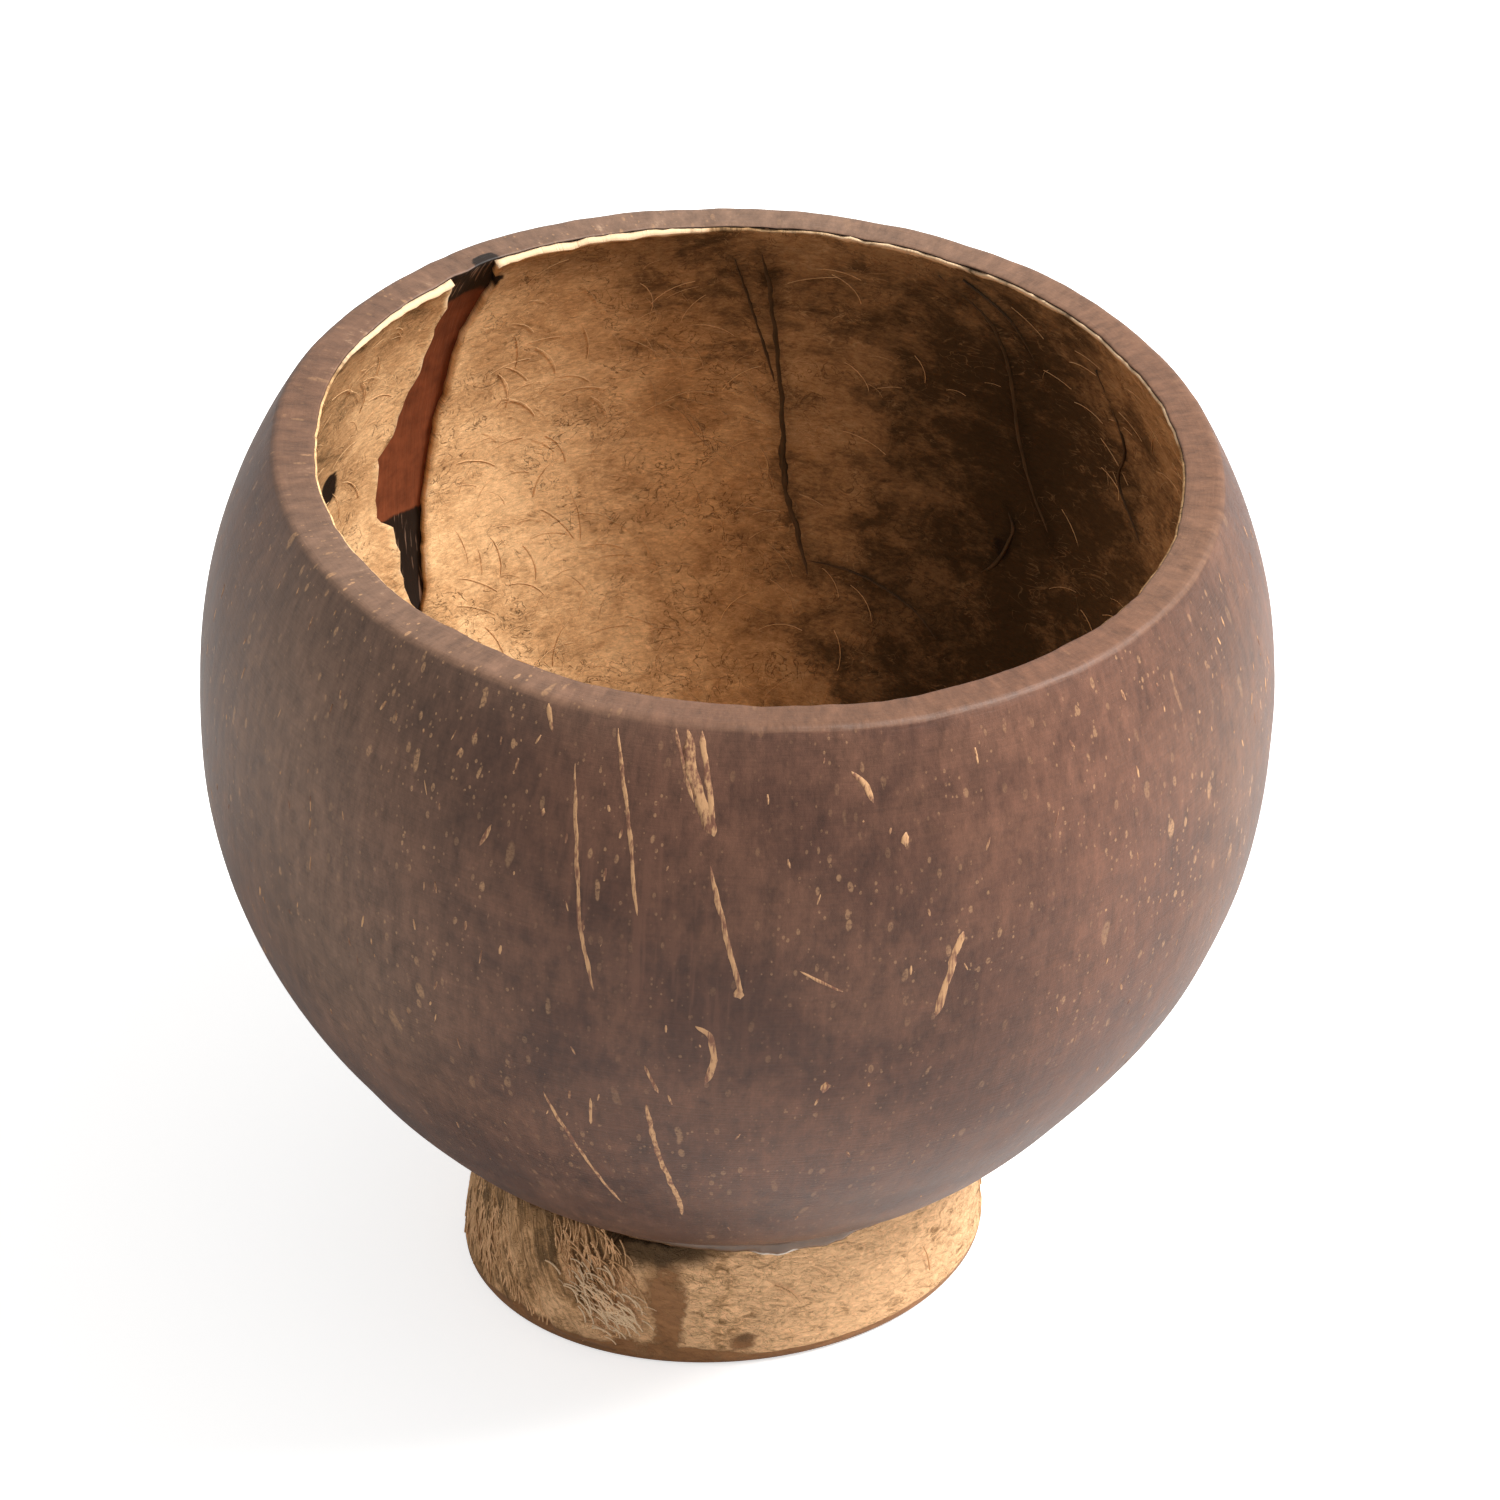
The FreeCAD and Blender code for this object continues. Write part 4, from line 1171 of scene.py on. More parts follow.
    def close_seam(self, piece):
        """Weld the strip's edges where they meet below its end, and point the faces outwards."""
        mesh = bmesh.new()
        mesh.from_mesh(piece.data)
        bmesh.ops.remove_doubles(mesh, verts=mesh.verts, dist=0.004 * MM)
        seen = {}
        for face in list(mesh.faces):
            key = frozenset(vertex.index for vertex in face.verts)
            seen.setdefault(key, []).append(face)
        doubled = [face for group in seen.values() if len(group) > 1 for face in group]
        bmesh.ops.delete(mesh, geom=doubled, context="FACES")
        bmesh.ops.recalc_face_normals(mesh, faces=mesh.faces)
        mesh.to_mesh(piece.data)
        mesh.free()


# Soft patches of the lining: bearing, level, half-width, half-height, strength. The dark ones are
# painted shade on the right side, low on the right, on the left wall and along the top at the back,
# partly the lining's own darker brown; the black ones are black stains.
LINING_SHADE_AND_STAIN_PATCHES = (
    (56.0, 6.0, 30.0, 46.0, 1.0),
    (14.0, 0.0, 24.0, 45.0, 0.15),
    (156.0, 10.0, 16.0, 30.0, 0.45),
    (90.0, 24.0, 14.0, 9.0, 0.35),
    (110.0, 29.0, 20.0, 5.0, 0.45),
    (58.0, -26.0, 22.0, 14.0, 0.5),
)
BLACK_LINING_PATCHES = (
    (147.2, 6.0, 2.0, 2.4, 1.0),
    (125.0, 29.0, 1.6, 3.0, 0.6),
    (55.4, -8.4, 1.4, 2.2, 0.8),
    (84.0, -14.5, 1.8, 1.4, 0.55),
)


class CUP_OT_lining_veins(bpy.types.Operator):
    """Raise the veins that run through the lining."""

    bl_idname = "coconut_cup.lining_veins"
    bl_label = "Lining veins"

    def execute(self, context):
        """Make one low rib for each vein."""
        form = BowlForm(context.scene.cup_sizes)
        colours = context.scene.cup_colours
        inset = form.sizes.wall + form.sizes.lining + 0.45 * MM
        parts = []
        for name, (width, *points) in LINING_VEINS.items():
            parts.append(fibre_mesh(form, name, 0.45 * width, points, inset, 0.14 * MM, blunt=0.3))
        piece = join_parts("lining_veins", parts)
        # The ribs are coloured far darker than the lining: partly the veins' own dark brown, partly
        # painted shade that keeps them dark where the lamp lights them.
        light = tuple(0.12 * value for value in colours.lining_mid)
        dark = tuple(0.25 * value for value in colours.lining_dark)
        piece.data.materials.append(thread_finish("lining vein with painted shade", light, dark))
        hand_over(piece, "papery_lining")
        return {"FINISHED"}


def scatter_tree(name, strand):
    """Node tree that scatters small parts over a mesh: slivers, or curved strands if asked."""
    tree = bpy.data.node_groups.new(name, "GeometryNodeTree")
    sockets = {
        "Surface": "Geometry", "Density": "Float", "Seed": "Int", "Shortest": "Float",
        "Longest": "Float", "Width": "Float", "Thickness": "Float", "Spread": "Float",
        "Slant": "Float", "Lift": "Float", "Finish": "Material",
    }
    for label, kind in sockets.items():
        tree.interface.new_socket(name=label, in_out="INPUT", socket_type="NodeSocket" + kind)
    tree.interface.new_socket(name="Parts", in_out="OUTPUT", socket_type="NodeSocketGeometry")

    node = functools.partial(add_node, tree)

    def sum_of(operation, first, second):
        return node("ShaderNodeMath", {0: first, 1: second}, operation=operation).outputs["Value"]

    given = node("NodeGroupInput").outputs
    crowd = node("GeometryNodeInputNamedAttribute", {"Name": "crowd"}, data_type="FLOAT")
    density = sum_of("MULTIPLY", given["Density"], crowd.outputs["Attribute"])
    points = node("GeometryNodeDistributePointsOnFaces", {
        "Mesh": given["Surface"], "Density": density, "Seed": given["Seed"]})
    if strand:
        arc = node("GeometryNodeCurveArc", {
            "Resolution": 6, "Radius": 1.1, "Start Angle": -0.45, "Sweep Angle": 0.9})
        thinness = sum_of("DIVIDE", given["Thickness"], given["Longest"])
        rim = node("GeometryNodeCurvePrimitiveCircle", {"Resolution": 3, "Radius": thinness})
        drawn = node("GeometryNodeCurveToMesh", {
            "Curve": arc.outputs["Curve"], "Profile Curve": rim.outputs["Curve"],
            "Fill Caps": True})
        moved = node("GeometryNodeTransform", {
            "Geometry": drawn.outputs["Mesh"], "Translation": (-1.05, 0.0, 0.0)})
        shape_out = moved.outputs["Geometry"]
    else:
        ball = node("GeometryNodeMeshUVSphere", {"Segments": 6, "Rings": 4, "Radius": 0.5})
        shape_out = ball.outputs["Mesh"]
    upright = node("FunctionNodeAlignRotationToVector", {
        "Rotation": points.outputs["Rotation"], "Vector": (0.0, 0.0, 1.0)},
        axis="Y", pivot_axis="Z")
    turn = node("FunctionNodeRandomValue", {
        "Min": (0.0, 0.0, -1.0), "Max": (0.0, 0.0, 1.0), "Seed": 3}, data_type="FLOAT_VECTOR")
    wider = node("ShaderNodeVectorMath", {
        0: turn.outputs[0], "Scale": given["Spread"]}, operation="SCALE")
    slant = node("ShaderNodeCombineXYZ", {"Z": given["Slant"]})
    turn_scaled = node("ShaderNodeVectorMath", {
        0: wider.outputs["Vector"], 1: slant.outputs["Vector"]}, operation="ADD")
    spin = node("FunctionNodeRotateRotation", {
        "Rotation": upright.outputs["Rotation"], "Rotate By": turn_scaled.outputs["Vector"]},
        rotation_space="LOCAL")
    length = node("FunctionNodeRandomValue", {
        "Min": given["Shortest"], "Max": given["Longest"], "Seed": 5}, data_type="FLOAT")
    length_out = next(socket for socket in length.outputs if socket.enabled)
    thinner = node("FunctionNodeRandomValue", {
        "Min": 0.5, "Max": 1.25, "Seed": 9}, data_type="FLOAT")
    thinner_out = next(socket for socket in thinner.outputs if socket.enabled)
    if strand:
        width = sum_of("MULTIPLY", length_out, thinner_out)
        sizes = {"X": width, "Y": length_out, "Z": length_out}
    else:
        width = sum_of("MULTIPLY", given["Width"], thinner_out)
        sizes = {"X": width, "Y": length_out, "Z": given["Thickness"]}
    scale = node("ShaderNodeCombineXYZ", sizes)
    placed = node("GeometryNodeInstanceOnPoints", {
        "Points": points.outputs["Points"], "Instance": shape_out,
        "Rotation": spin.outputs["Rotation"], "Scale": scale.outputs["Vector"]})
    lift = node("ShaderNodeCombineXYZ", {"Z": given["Lift"]})
    lifted = node("GeometryNodeTranslateInstances", {
        "Instances": placed.outputs["Instances"], "Translation": lift.outputs["Vector"],
        "Local Space": True})
    real = node("GeometryNodeRealizeInstances", {"Geometry": lifted.outputs["Instances"]})
    painted = node("GeometryNodeSetMaterial", {
        "Geometry": real.outputs["Geometry"], "Material": given["Finish"]})
    node("NodeGroupOutput", {"Parts": painted.outputs["Geometry"]})
    return tree


def scatter(name, surface, tree, values):
    """Run a scatter tree on a surface object, which then becomes the scattered parts."""
    surface.name = name
    modifier = surface.modifiers.new("scatter", "NODES")
    modifier.node_group = tree
    for item in tree.interface.items_tree:
        if item.in_out == "INPUT" and item.name in values:
            modifier[item.identifier] = values[item.name]
    surface.update_tag()
    settle(surface)
    return surface


def bowl_patch(form, name, levels, inset, lift, crowd, outwards=True):
    """A band of a bowl layer as an open mesh, with how crowded its scattered parts are."""
    columns = 120
    step = 3.0 * MM
    low, high = levels
    line = [point for point in form.line(inset, high, step) if point[1] >= low]
    vertices, values = [], []
    for radius, level in line:
        for bearing in ring_bearings(columns):
            vertices.append(form.put(bearing, radius, level, lift))
            values.append(crowd(bearing, level))
    faces = grid_faces(len(line), columns)
    if not outwards:
        faces = [face[::-1] for face in faces]
    patch = add_mesh(name, vertices, faces)
    write_values(patch, "crowd", values)
    return patch


class CUP_OT_shell_flecks(bpy.types.Operator):
    """Scatter the short cut fibre ends over the sanded shell."""

    bl_idname = "coconut_cup.shell_flecks"
    bl_label = "Shell flecks"

    def execute(self, context):
        """Scatter upright slivers, more where the shell is flecky."""
        form = BowlForm(context.scene.cup_sizes)
        colours = context.scene.cup_colours
        size = form.sizes

        def crowd(bearing, level):
            return 0.22 + patch_strength(bearing, level, FLECKY_PATCHES)

        levels = -44.0 * MM, size.mouth - 2.0 * MM
        patch = bowl_patch(form, "shell_flecks", levels, 0.0, 0.0, crowd)
        dark = tuple(1.1 * value for value in colours.shell_red)
        scatter("shell_flecks", patch, scatter_tree("scattered flecks", strand=False), {
            "Density": 25000.0, "Seed": 11, "Shortest": 0.35 * MM, "Longest": 2.3 * MM,
            "Width": 0.38 * MM, "Thickness": 0.10 * MM, "Spread": 0.45, "Lift": -0.02 * MM,
            "Finish": thread_finish("fleck", colours.fleck, dark, 0.42, 0.58)})
        hand_over(patch, "sanded_shell")
        return {"FINISHED"}


class CUP_OT_lining_fibres(bpy.types.Operator):
    """Scatter the loose fine fibres over the lining."""

    bl_idname = "coconut_cup.lining_fibres"
    bl_label = "Lining fibres"

    def execute(self, context):
        """Scatter curved strands, off the peeled strip."""
        form = BowlForm(context.scene.cup_sizes)
        colours = context.scene.cup_colours
        size = form.sizes

        def crowd(bearing, level):
            left, right = peel_edges_at(level)
            degrees = math.degrees(bearing)
            if right - 6.0 < degrees < left + 6.0:
                return 0.0
            # Fewer strands where shade is painted on the lining.
            return 1.0 - 0.99 * patch_strength(bearing, level, LINING_SHADE_AND_STAIN_PATCHES)

        inset = size.wall + size.lining
        levels = -52.0 * MM, size.mouth - 4.0 * MM
        patch = bowl_patch(form, "lining_fibres", levels, inset, -0.3 * MM, crowd, outwards=False)
        pale = thread_finish("lining fibre", colours.lining_light, colours.lining_mid)
        scatter("lining_fibres", patch, scatter_tree("scattered strands", strand=True), {
            "Density": 90000.0, "Seed": 4, "Shortest": 2.0 * MM, "Longest": 6.5 * MM,
            "Thickness": 0.055 * MM, "Spread": 1.3, "Slant": 1.35, "Lift": 0.0,
            "Finish": pale})
        hand_over(patch, "papery_lining")
        return {"FINISHED"}


class FootForm:
    """Places on the foot, from a bearing, a level above the table and an inset."""

    def __init__(self, sizes, bowl):
        self.sizes = sizes
        self.bowl = bowl
        self.centre = bowl.seat
        self.seat_radius = math.hypot(sizes.neck / 2, bowl.seat.z - sizes.height)

    def middle(self, level):
        """The outline's centre at a level, moving over from the base's to the neck's."""
        share = 1.0 - min(level / self.sizes.height, 1.0) ** 2
        shift = Vector((-self.sizes.left, -self.sizes.forward, 0.0)) * share
        return Vector((self.centre.x, self.centre.y, 0.0)) + shift

    def reach(self, bearing, level, inset):
        """Distance from the outline's centre to the wall at a bearing in radians."""
        size = self.sizes
        share = (level / size.height) ** 2
        long_half = blend((size.breadth + size.extra_length) / 2, size.neck / 2, share) - inset
        short_half = blend(size.breadth / 2, size.neck / 2, share) - inset
        turn = bearing - size.turn
        return 1.0 / math.hypot(math.cos(turn) / long_half, math.sin(turn) / short_half)

    def on(self, bearing, level, inset=0.0):
        """The point on the wall at a bearing in radians."""
        outwards = flat_way(bearing) * self.reach(bearing, level, inset)
        return self.middle(level) + outwards + Vector((0.0, 0.0, level))

    def seat_height(self, offset):
        """Level of the seat's hollow at a distance from the neck's axis."""
        return self.centre.z - math.sqrt(self.seat_radius ** 2 - offset ** 2)


# The crease on the foot's front left: its bearing at the top and at the table, in degrees.
CREASE_TOP = -141.0
CREASE_FOOT = -110.0

# Soft patches of the foot: bearing, level, half-width, half-height, strength.
OLIVE_FOOT_PATCHES = (
    (-160.0, 10.0, 34.0, 14.0, 1.0),
    (-124.0, 13.5, 14.0, 4.5, 0.9),
    (60.0, 8.0, 50.0, 20.0, 0.6),
)
WORN_FOOT_PATCHES = (
    (-104.5, 9.5, 6.5, 4.5, 0.85),
    (-102.5, 4.5, 3.0, 4.0, 0.75),
    (-86.0, 3.2, 4.5, 1.6, 0.9),
    (-118.0, 1.8, 16.0, 1.8, 0.75),
    (150.0, 6.0, 12.0, 6.0, 0.7),
)
# The dark patches near the top are painted shadow under the bowl; the low one is a dark stain.
FOOT_SHADOW_AND_STAIN_PATCHES = (
    (-85.5, 3.6, 3.6, 1.3, 0.62),
    (-112.0, 14.0, 12.0, 3.0, 0.8),
    (-98.0, 14.2, 12.0, 2.0, 0.65),
    (-140.0, 14.6, 12.0, 2.0, 0.6),
)
FLAKE_PATCHES = (
    (-113.5, 6.0, 3.4, 1.3, 1.0),
    (-118.5, 7.6, 3.6, 1.3, 0.6),
    (-124.0, 9.4, 3.6, 1.3, 0.3),
)
# The first two patches lighten the pale flake; the wide one on the front right is painted light.
FOOT_FLAKE_AND_LIGHT_PATCHES = (
    (-115.5, 5.0, 4.0, 3.6, 0.9),
    (-109.0, 3.0, 3.0, 1.6, 0.8),
    (-55.0, 8.0, 36.0, 9.0, 0.55),
)


class CUP_OT_foot(bpy.types.Operator):
    """Build the foot of raw shell."""

    bl_idname = "coconut_cup.foot"
    bl_label = "Foot"

    columns = 420
    levels = 46
    strand_slant = 0.8

    def crease(self, bearing, level, height):
        """The diagonal crease: the rough left side laps over the smooth hollow to its right."""
        line = blend(CREASE_FOOT, CREASE_TOP, (level / height) ** 0.8)
        turn = degrees_past(bearing, line)
        lip = ease(turn, -26.0, -2.0) * ease(turn, 4.0, 1.0)
        hollow = math.exp(-((turn - 8.0) / 6.0) ** 2)
        return 0.85 * MM * lip - 0.45 * MM * hollow

    def notch(self, bearing):
        """How deep the rough top edge is broken away at the front left."""
        rough = between(bearing, 168.0, 186.0, 240.0, 268.0)
        around = flat_way(bearing) * self.neck_radius
        bites = 0.6 + 0.6 * wobble(around, 2.6 * MM, 2.0) + 0.5 * wobble(around, 1.0 * MM, 5.0)
        return rough * 1.6 * MM * max(bites, 0.0)

    def skin(self, form, bearing, level):
        """The outer skin's roughness at a place, its strands slanting down to the right."""
        size = form.sizes
        coarse = 0.4 + 0.6 * between(bearing, 160.0, 190.0, 232.0, 250.0)
        at = form.on(bearing, level)
        upper = ease(level, 0.8 * MM, 2.6 * MM)
        turned = bearing + self.strand_slant * level / self.neck_radius
        slanted = flat_way(turned) * self.neck_radius + Vector((0.0, 0.0, level / 4.0))
        rough = 0.42 * MM * wobble(slanted, 1.3 * MM, 1.0) + 0.16 * MM * wobble(at, 1.2 * MM, 2.0)
        lump = 0.35 * MM * wobble(at, 8.0 * MM, 3.0)
        return upper * (coarse * rough + lump + self.crease(bearing, level, size.height))

    def section(self, form):
        """Steps (kind, share) round the wall: up the outside, over the seat, down inside."""
        size = form.sizes
        steps = [("worn", share) for share in spaced(0.0, 1.0, 0.25)]
        rise = spaced(size.bevel / size.height, 1.0, 1.0 / self.levels)
        steps += [("outside", share) for share in rise[1:]]
        steps += [("seat", share) for share in spaced(0.0, 1.0, 0.2)[1:]]
        steps += [("bore", share) for share in spaced(1.0, 0.0, 0.08)[1:]]
        steps += [("table", share) for share in (0.33, 0.66)]
        return steps

    def place(self, form, kind, share, bearing):
        """The point at a step of the section and a bearing, and its level."""
        size = form.sizes
        inner_neck = self.neck_radius - size.wall
        if kind == "worn":
            turn = share * math.pi / 2
            level = size.bevel * (1.0 - math.cos(turn))
            return form.on(bearing, level, size.bevel * (1.0 - math.sin(turn))), level
        if kind == "outside":
            level = share * size.height - self.notch(bearing) * ease(share, 0.72, 1.0)
            rough = flat_way(bearing) * self.skin(form, bearing, level)
            return form.on(bearing, level) + rough, level
        if kind == "seat":
            offset = blend(self.neck_radius, inner_neck, share)
            level = form.seat_height(offset) - self.notch(bearing) * (1.0 - share) ** 2
            offset += self.skin(form, bearing, size.height) * (1.0 - share) ** 3
            centre = Vector((form.centre.x, form.centre.y, level))
            return centre + flat_way(bearing) * offset, level
        if kind == "bore":
            level = share * form.seat_height(inner_neck)
            return form.on(bearing, level, size.wall), level
        inner = form.on(bearing, 0.0, size.wall)
        outer = form.on(bearing, 0.0, size.bevel)
        return inner.lerp(outer, share), 0.0

    def execute(self, context):
        """Lay the wall's section round the foot, then write what the finish reads."""
        form = FootForm(context.scene.foot_sizes, BowlForm(context.scene.cup_sizes))
        colours = context.scene.cup_colours
        self.neck_radius = form.sizes.neck / 2
        vertices, kept, maps = [], [], []
        steps = self.section(form)
        for kind, share in steps:
            for bearing in ring_bearings(self.columns):
                point, level = self.place(form, kind, share, bearing)
                vertices.append(point)
                kept.append((kind, bearing, level))
                turned = bearing + self.strand_slant * level / self.neck_radius
                slanted = flat_way(turned) * self.neck_radius
                maps.append((slanted.x, slanted.y, level))
        foot = add_mesh("foot", vertices, grid_faces(len(steps), self.columns, looped=True))
        face_outwards(foot)
        write_patches(foot, kept, {"olive": OLIVE_FOOT_PATCHES, "bright": FOOT_FLAKE_AND_LIGHT_PATCHES})
        write_values(foot, "worn", [self.wear(*place) for place in kept])
        write_values(foot, "stain", [self.stain(*place) for place in kept])
        write_vectors(foot, "foot_map", maps)
        foot.data.materials.append(raw_shell_finish(colours))
        hand_over(foot, "raw_shell", "foot_ring")
        return {"FINISHED"}

    def stain(self, kind, bearing, level):
        """How dark the foot is painted: painted shadow of the bowl along its top, and a dark stain low
        down.
        """
        outer = kind in ("outside", "seat", "worn")
        return patch_strength(bearing, level, FOOT_SHADOW_AND_STAIN_PATCHES) if outer else 0.0

    def wear(self, kind, bearing, level):
        """How worn and smooth the surface is."""
        if kind in ("worn", "table"):
            return 0.85
        if kind in ("bore", "seat"):
            return 0.35
        left_front = between(bearing, 195.0, 225.0, 262.0, 290.0)
        band = blend(0.9 * MM, 2.6 * MM, left_front)
        edge = 0.9 * ease(level, band + 0.6 * MM, band - 0.4 * MM)
        return max(edge, patch_strength(bearing, level, WORN_FOOT_PATCHES))


def foot_patch(form, name, levels, columns, spot):
    """The foot's wall as an open mesh, a spot giving how far it stands off and how crowded it is."""
    vertices, values = [], []
    for level in levels:
        for bearing in ring_bearings(columns):
            proud, crowding = spot(bearing, level)
            vertices.append(form.on(bearing, level) + flat_way(bearing) * proud)
            values.append(crowding)
    patch = add_mesh(name, vertices, grid_faces(len(levels), columns))
    write_values(patch, "crowd", values)
    return patch


class CUP_OT_foot_bristles(bpy.types.Operator):
    """Scatter the stiff loose fibres over the foot's rough side."""

    bl_idname = "coconut_cup.foot_bristles"
    bl_label = "Foot bristles"

    def execute(self, context):
        """Scatter strands over the outside, most of them at the front left."""
        form = FootForm(context.scene.foot_sizes, BowlForm(context.scene.cup_sizes))
        colours = context.scene.cup_colours
        size = form.sizes

        def spot(bearing, _):
            proud = 0.35 * MM * ease(math.degrees(bearing), 200.0, 232.0)
            return proud, 0.01 + 0.99 * between(bearing, 165.0, 190.0, 238.0, 250.0)

        levels = spaced(3.2 * MM, size.height - 0.8 * MM, 1.6 * MM)
        patch = foot_patch(form, "foot_bristles", levels, 90, spot)
        scatter("foot_bristles", patch, scatter_tree("foot strands", strand=True), {
            "Density": 1500000.0, "Seed": 6, "Shortest": 1.2 * MM, "Longest": 4.2 * MM,
            "Thickness": 0.14 * MM, "Spread": 0.5, "Slant": 0.6, "Lift": 0.1 * MM,
            "Finish": thread_finish(
                "foot fibre", colours.foot_light, colours.foot_mid, 0.38, 0.62)})
        hand_over(patch, "raw_shell")
        return {"FINISHED"}


class CUP_OT_foot_flake(bpy.types.Operator):
    """Scatter the pale frayed fibres where the rough side ends at the crease."""

    bl_idname = "coconut_cup.foot_flake"
    bl_label = "Foot flake"

    def execute(self, context):
        """Scatter long slanting strands over the crease's lower end."""
        form = FootForm(context.scene.foot_sizes, BowlForm(context.scene.cup_sizes))
        colours = context.scene.cup_colours

        def spot(bearing, level):
            return 1.0 * MM, patch_strength(bearing, level, FLAKE_PATCHES)

        levels = spaced(1.8 * MM, 13.0 * MM, 1.0 * MM)
        patch = foot_patch(form, "foot_flake", levels, 120, spot)
        scatter("foot_flake", patch, scatter_tree("flake strands", strand=True), {
            "Density": 9000000.0, "Seed": 15, "Shortest": 0.9 * MM, "Longest": 2.8 * MM,
            "Thickness": 0.15 * MM, "Spread": 0.5, "Slant": 1.0, "Lift": 0.0,
            "Finish": thread_finish("flake fibre", colours.torn, colours.foot_light, 0.3, 0.5)})
        hand_over(patch, "raw_shell")
        return {"FINISHED"}


class CUP_OT_glue(bpy.types.Operator):
    """Build the glue between bowl and foot, with the bead squeezed out."""

    bl_idname = "coconut_cup.glue"
    bl_label = "Glue"

    columns = 360
    arc_steps = 7
    crest_point = 8
    gap = 0.05 * MM

    def swell(self, bearing):
        """How full the outer bead is at a bearing."""
        around = flat_way(bearing) * 30.0 * MM
        lumps = 0.75 + 0.55 * wobble(around, 5.0 * MM, 2.0) + 0.25 * wobble(around, 1.6 * MM, 7.0)
        front_right = math.exp(-(degrees_past(bearing, -78.0) / 17.0) ** 2)
        return max(0.15, lumps * (0.35 + 0.9 * front_right))

    def section(self, form, bearing):
        """The seam's section (offset, level): under the bowl, over the bead, along the seat."""
        size = form.sizes
        outer = size.neck / 2
        inner = outer - size.wall
        bead = size.bead * self.swell(bearing)
        bowl_radius = form.bowl.bottom_radius + self.gap
        points = []
        for share in spaced(0.0, 1.0, 0.34):
            offset = blend(inner - 0.6 * MM, outer + bead, share)
            points.append((offset, form.centre.z - math.sqrt(bowl_radius ** 2 - offset ** 2)))
        top = points[-1]
        low = (outer + 0.35 * MM, form.seat_height(outer) - 1.25 * bead)
        for share in spaced(0.0, 1.0, 1.0 / self.arc_steps)[1:-1]:
            bulge = 0.7 * 0.55 * bead * math.sin(math.pi * share)
            points.append((blend(top[0], low[0], share) + bulge, blend(top[1], low[1], share) - bulge))
        points.append(low)
        points.append((outer - 0.3 * MM, form.seat_height(outer) - 0.6 * bead))
        for offset, lift in ((outer - 0.6 * MM, 0.02 * MM), (inner, 0.02 * MM)):
            points.append((offset, form.seat_height(offset) + lift))
        points.append((inner - 0.5 * MM, form.seat_height(inner) - 0.4 * MM))
        return points

    def execute(self, context):
        """Sweep the seam's section, with its round outer bead, about the neck's axis."""
        form = FootForm(context.scene.foot_sizes, BowlForm(context.scene.cup_sizes))
        vertices, painted_highlight = [], []
        for bearing in ring_bearings(self.columns):
            # Where the pale highlight is painted: on the bead's crest at the front right.
            front_right = math.exp(-(degrees_past(bearing, -79.0) / 7.5) ** 2)
            ring = self.section(form, bearing)
            for index, (offset, level) in enumerate(ring):
                centre = Vector((form.centre.x, form.centre.y, level))
                vertices.append(centre + flat_way(bearing) * offset)
                crest = math.exp(-((index - self.crest_point) / 1.6) ** 2)
                painted_highlight.append(front_right * crest)
        glue = add_mesh("glue_bead", vertices, grid_faces(self.columns, len(ring), looped=True))
        face_outwards(glue)
        write_values(glue, "painted_highlight", painted_highlight)
        glue.data.materials.append(glue_finish(context.scene.cup_colours))
        hand_over(glue, "glue", "glue_seam")
        return {"FINISHED"}


def add_lamp(name, place, aim, width, watts):
    """A soft square lamp that faces a point."""
    data = bpy.data.lights.new(name, "AREA")
    data.size = width
    data.energy = watts
    lamp = bpy.data.objects.new(name, data)
    lamp.location = place
    lamp.rotation_euler = (Vector(aim) - Vector(place)).to_track_quat("-Z", "Y").to_euler()
    bpy.context.scene.collection.objects.link(lamp)


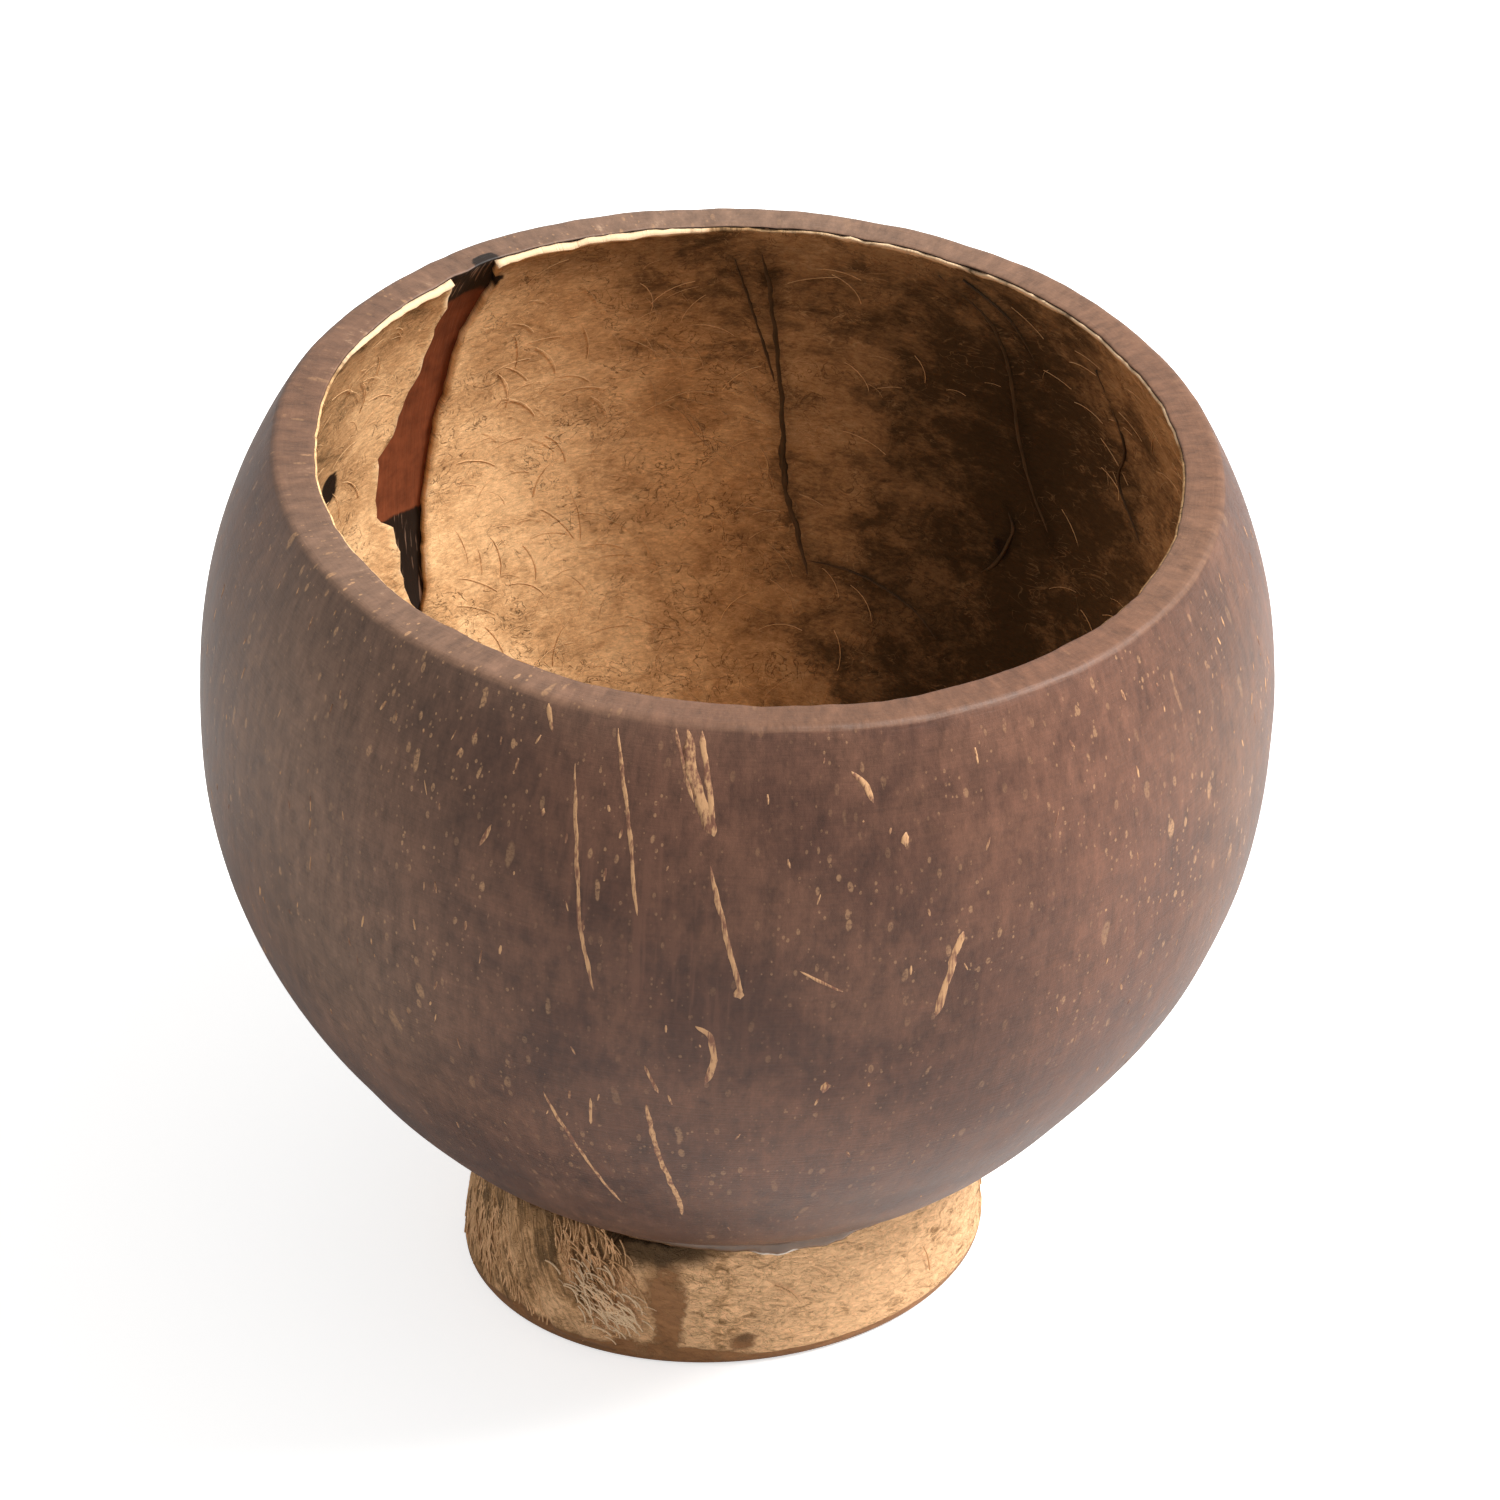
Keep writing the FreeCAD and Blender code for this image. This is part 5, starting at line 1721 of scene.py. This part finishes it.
class CUP_OT_stage(bpy.types.Operator):
    """Set the pale floor, the soft light, the white background and the camera."""

    bl_idname = "coconut_cup.stage"
    bl_label = "Stage"

    floor_half = 3.0
    floor_white = 0.60
    ambient = 0.5
    camera_distance = 1.1
    camera_elevation = math.radians(32.94)
    aim = (0.0, 0.0, 50.0 * MM)
    lens_mm = 233.545
    sensor_mm = 36.0

    def make_floor(self):
        """A pale floor that reads as white to the camera and still takes the shadow."""
        half = self.floor_half
        corners = [(-half, -half, 0.0), (half, -half, 0.0), (half, half, 0.0), (-half, half, 0.0)]
        floor = add_mesh("floor", corners, [(0, 1, 2, 3)], smooth=False)
        make = Recipe("pale floor")
        make.shader.inputs["Base Color"].default_value = (0.86, 0.86, 0.85, 1.0)
        make.shader.inputs["Roughness"].default_value = 0.9
        make.shader.inputs["Specular IOR Level"].default_value = 0.1
        path = make.node("ShaderNodeLightPath")
        seen = make.times(path.outputs["Is Camera Ray"], self.floor_white)
        glow = make.node("ShaderNodeEmission", {"Color": (1.0, 1.0, 1.0, 1.0), "Strength": seen})
        both = make.node("ShaderNodeAddShader", {
            0: make.shader.outputs["BSDF"], 1: glow.outputs["Emission"]})
        out = make.tree.nodes["Material Output"]
        make.tree.links.new(both.outputs["Shader"], out.inputs["Surface"])
        floor.data.materials.append(make.material)

    def make_world(self, scene):
        """A soft even world, plain white where the camera or a reflection sees it."""
        world = bpy.data.worlds.new("soft studio")
        scene.world = world
        world.use_nodes = True
        tree = world.node_tree
        back = tree.nodes["Background"]
        back.inputs["Color"].default_value = (1.0, 1.0, 1.0, 1.0)
        path = add_node(tree, "ShaderNodeLightPath").outputs
        seen = path["Is Camera Ray"]
        for name in ("Is Glossy Ray", "Is Transmission Ray"):
            either = add_node(tree, "ShaderNodeMath", {0: seen, 1: path[name]}, operation="MAXIMUM")
            seen = either.outputs["Value"]
        strength = add_node(tree, "ShaderNodeMapRange", {
            "Value": seen, "To Min": self.ambient, "To Max": 1.0})
        tree.links.new(strength.outputs["Result"], back.inputs["Strength"])

    def make_camera(self, scene):
        """The camera at the photograph's angle and framing."""
        data = bpy.data.cameras.new("camera")
        data.lens = self.lens_mm
        data.sensor_width = self.sensor_mm
        data.sensor_fit = "HORIZONTAL"
        middle = PHOTO_PIXELS / 2
        data.shift_x = (middle - AIM_ACROSS_PIXELS) / PHOTO_PIXELS
        data.shift_y = (AIM_DOWN_PIXELS - middle) / PHOTO_PIXELS
        camera = bpy.data.objects.new("camera", data)
        back = Vector((0.0, -math.cos(self.camera_elevation), math.sin(self.camera_elevation)))
        camera.location = Vector(self.aim) + back * self.camera_distance
        camera.rotation_euler = (-back).to_track_quat("-Z", "Y").to_euler()
        scene.collection.objects.link(camera)
        scene.camera = camera

    def execute(self, context):
        """Make the floor, the world, the lamps and the camera."""
        scene = context.scene
        self.make_floor()
        self.make_world(scene)
        add_lamp("key", (0.53, -0.05, 0.66), (0.0, 0.0, 0.06), 0.26, 13.0)
        add_lamp("fill", (-0.5, -0.7, 0.7), (0.0, 0.0, 0.05), 0.8, 1.2)
        self.make_camera(scene)
        scene.view_settings.view_transform = "Standard"
        return {"FINISHED"}


OPERATORS = (
    CUP_OT_shell, CUP_OT_shell_fibres, CUP_OT_shell_flecks, CUP_OT_lining, CUP_OT_lining_veins,
    CUP_OT_lining_fibres, CUP_OT_foot, CUP_OT_foot_bristles, CUP_OT_foot_flake, CUP_OT_glue,
    CUP_OT_stage,
)


class CUP_PT_panel(bpy.types.Panel):
    """Lists the cup's pieces and sizes in the sidebar."""

    bl_idname = "CUP_PT_panel"
    bl_label = "Coconut Cup"
    bl_space_type = "VIEW_3D"
    bl_region_type = "UI"
    bl_category = "Coconut Cup"

    def draw(self, context):
        """Show the sizes, the colours and a button for each piece."""
        for group in (getattr(context.scene, name) for name in PROPERTY_NAMES):
            box = self.layout.box()
            for name in group.__annotations__:
                box.prop(group, name)
        for operator in OPERATORS:
            self.layout.operator(operator.bl_idname)


GROUPS = (CupSizes, FootSizes, CupColours)
PROPERTY_NAMES = ("cup_sizes", "foot_sizes", "cup_colours")


def register():
    """Add the classes and the scene's settings."""
    for kind in (*GROUPS, *OPERATORS, CUP_PT_panel):
        bpy.utils.register_class(kind)
    for name, group in zip(PROPERTY_NAMES, GROUPS):
        setattr(bpy.types.Scene, name, bpy.props.PointerProperty(type=group))


def unregister():
    """Take the classes and the settings away again."""
    for name in PROPERTY_NAMES:
        delattr(bpy.types.Scene, name)
    for kind in reversed((*GROUPS, *OPERATORS, CUP_PT_panel)):
        bpy.utils.unregister_class(kind)


def main():
    """Build every piece."""
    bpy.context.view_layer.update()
    register()
    for operator in OPERATORS:
        group, name = operator.bl_idname.split(".")
        getattr(getattr(bpy.ops, group), name)()


if __name__ == "__main__":
    main()
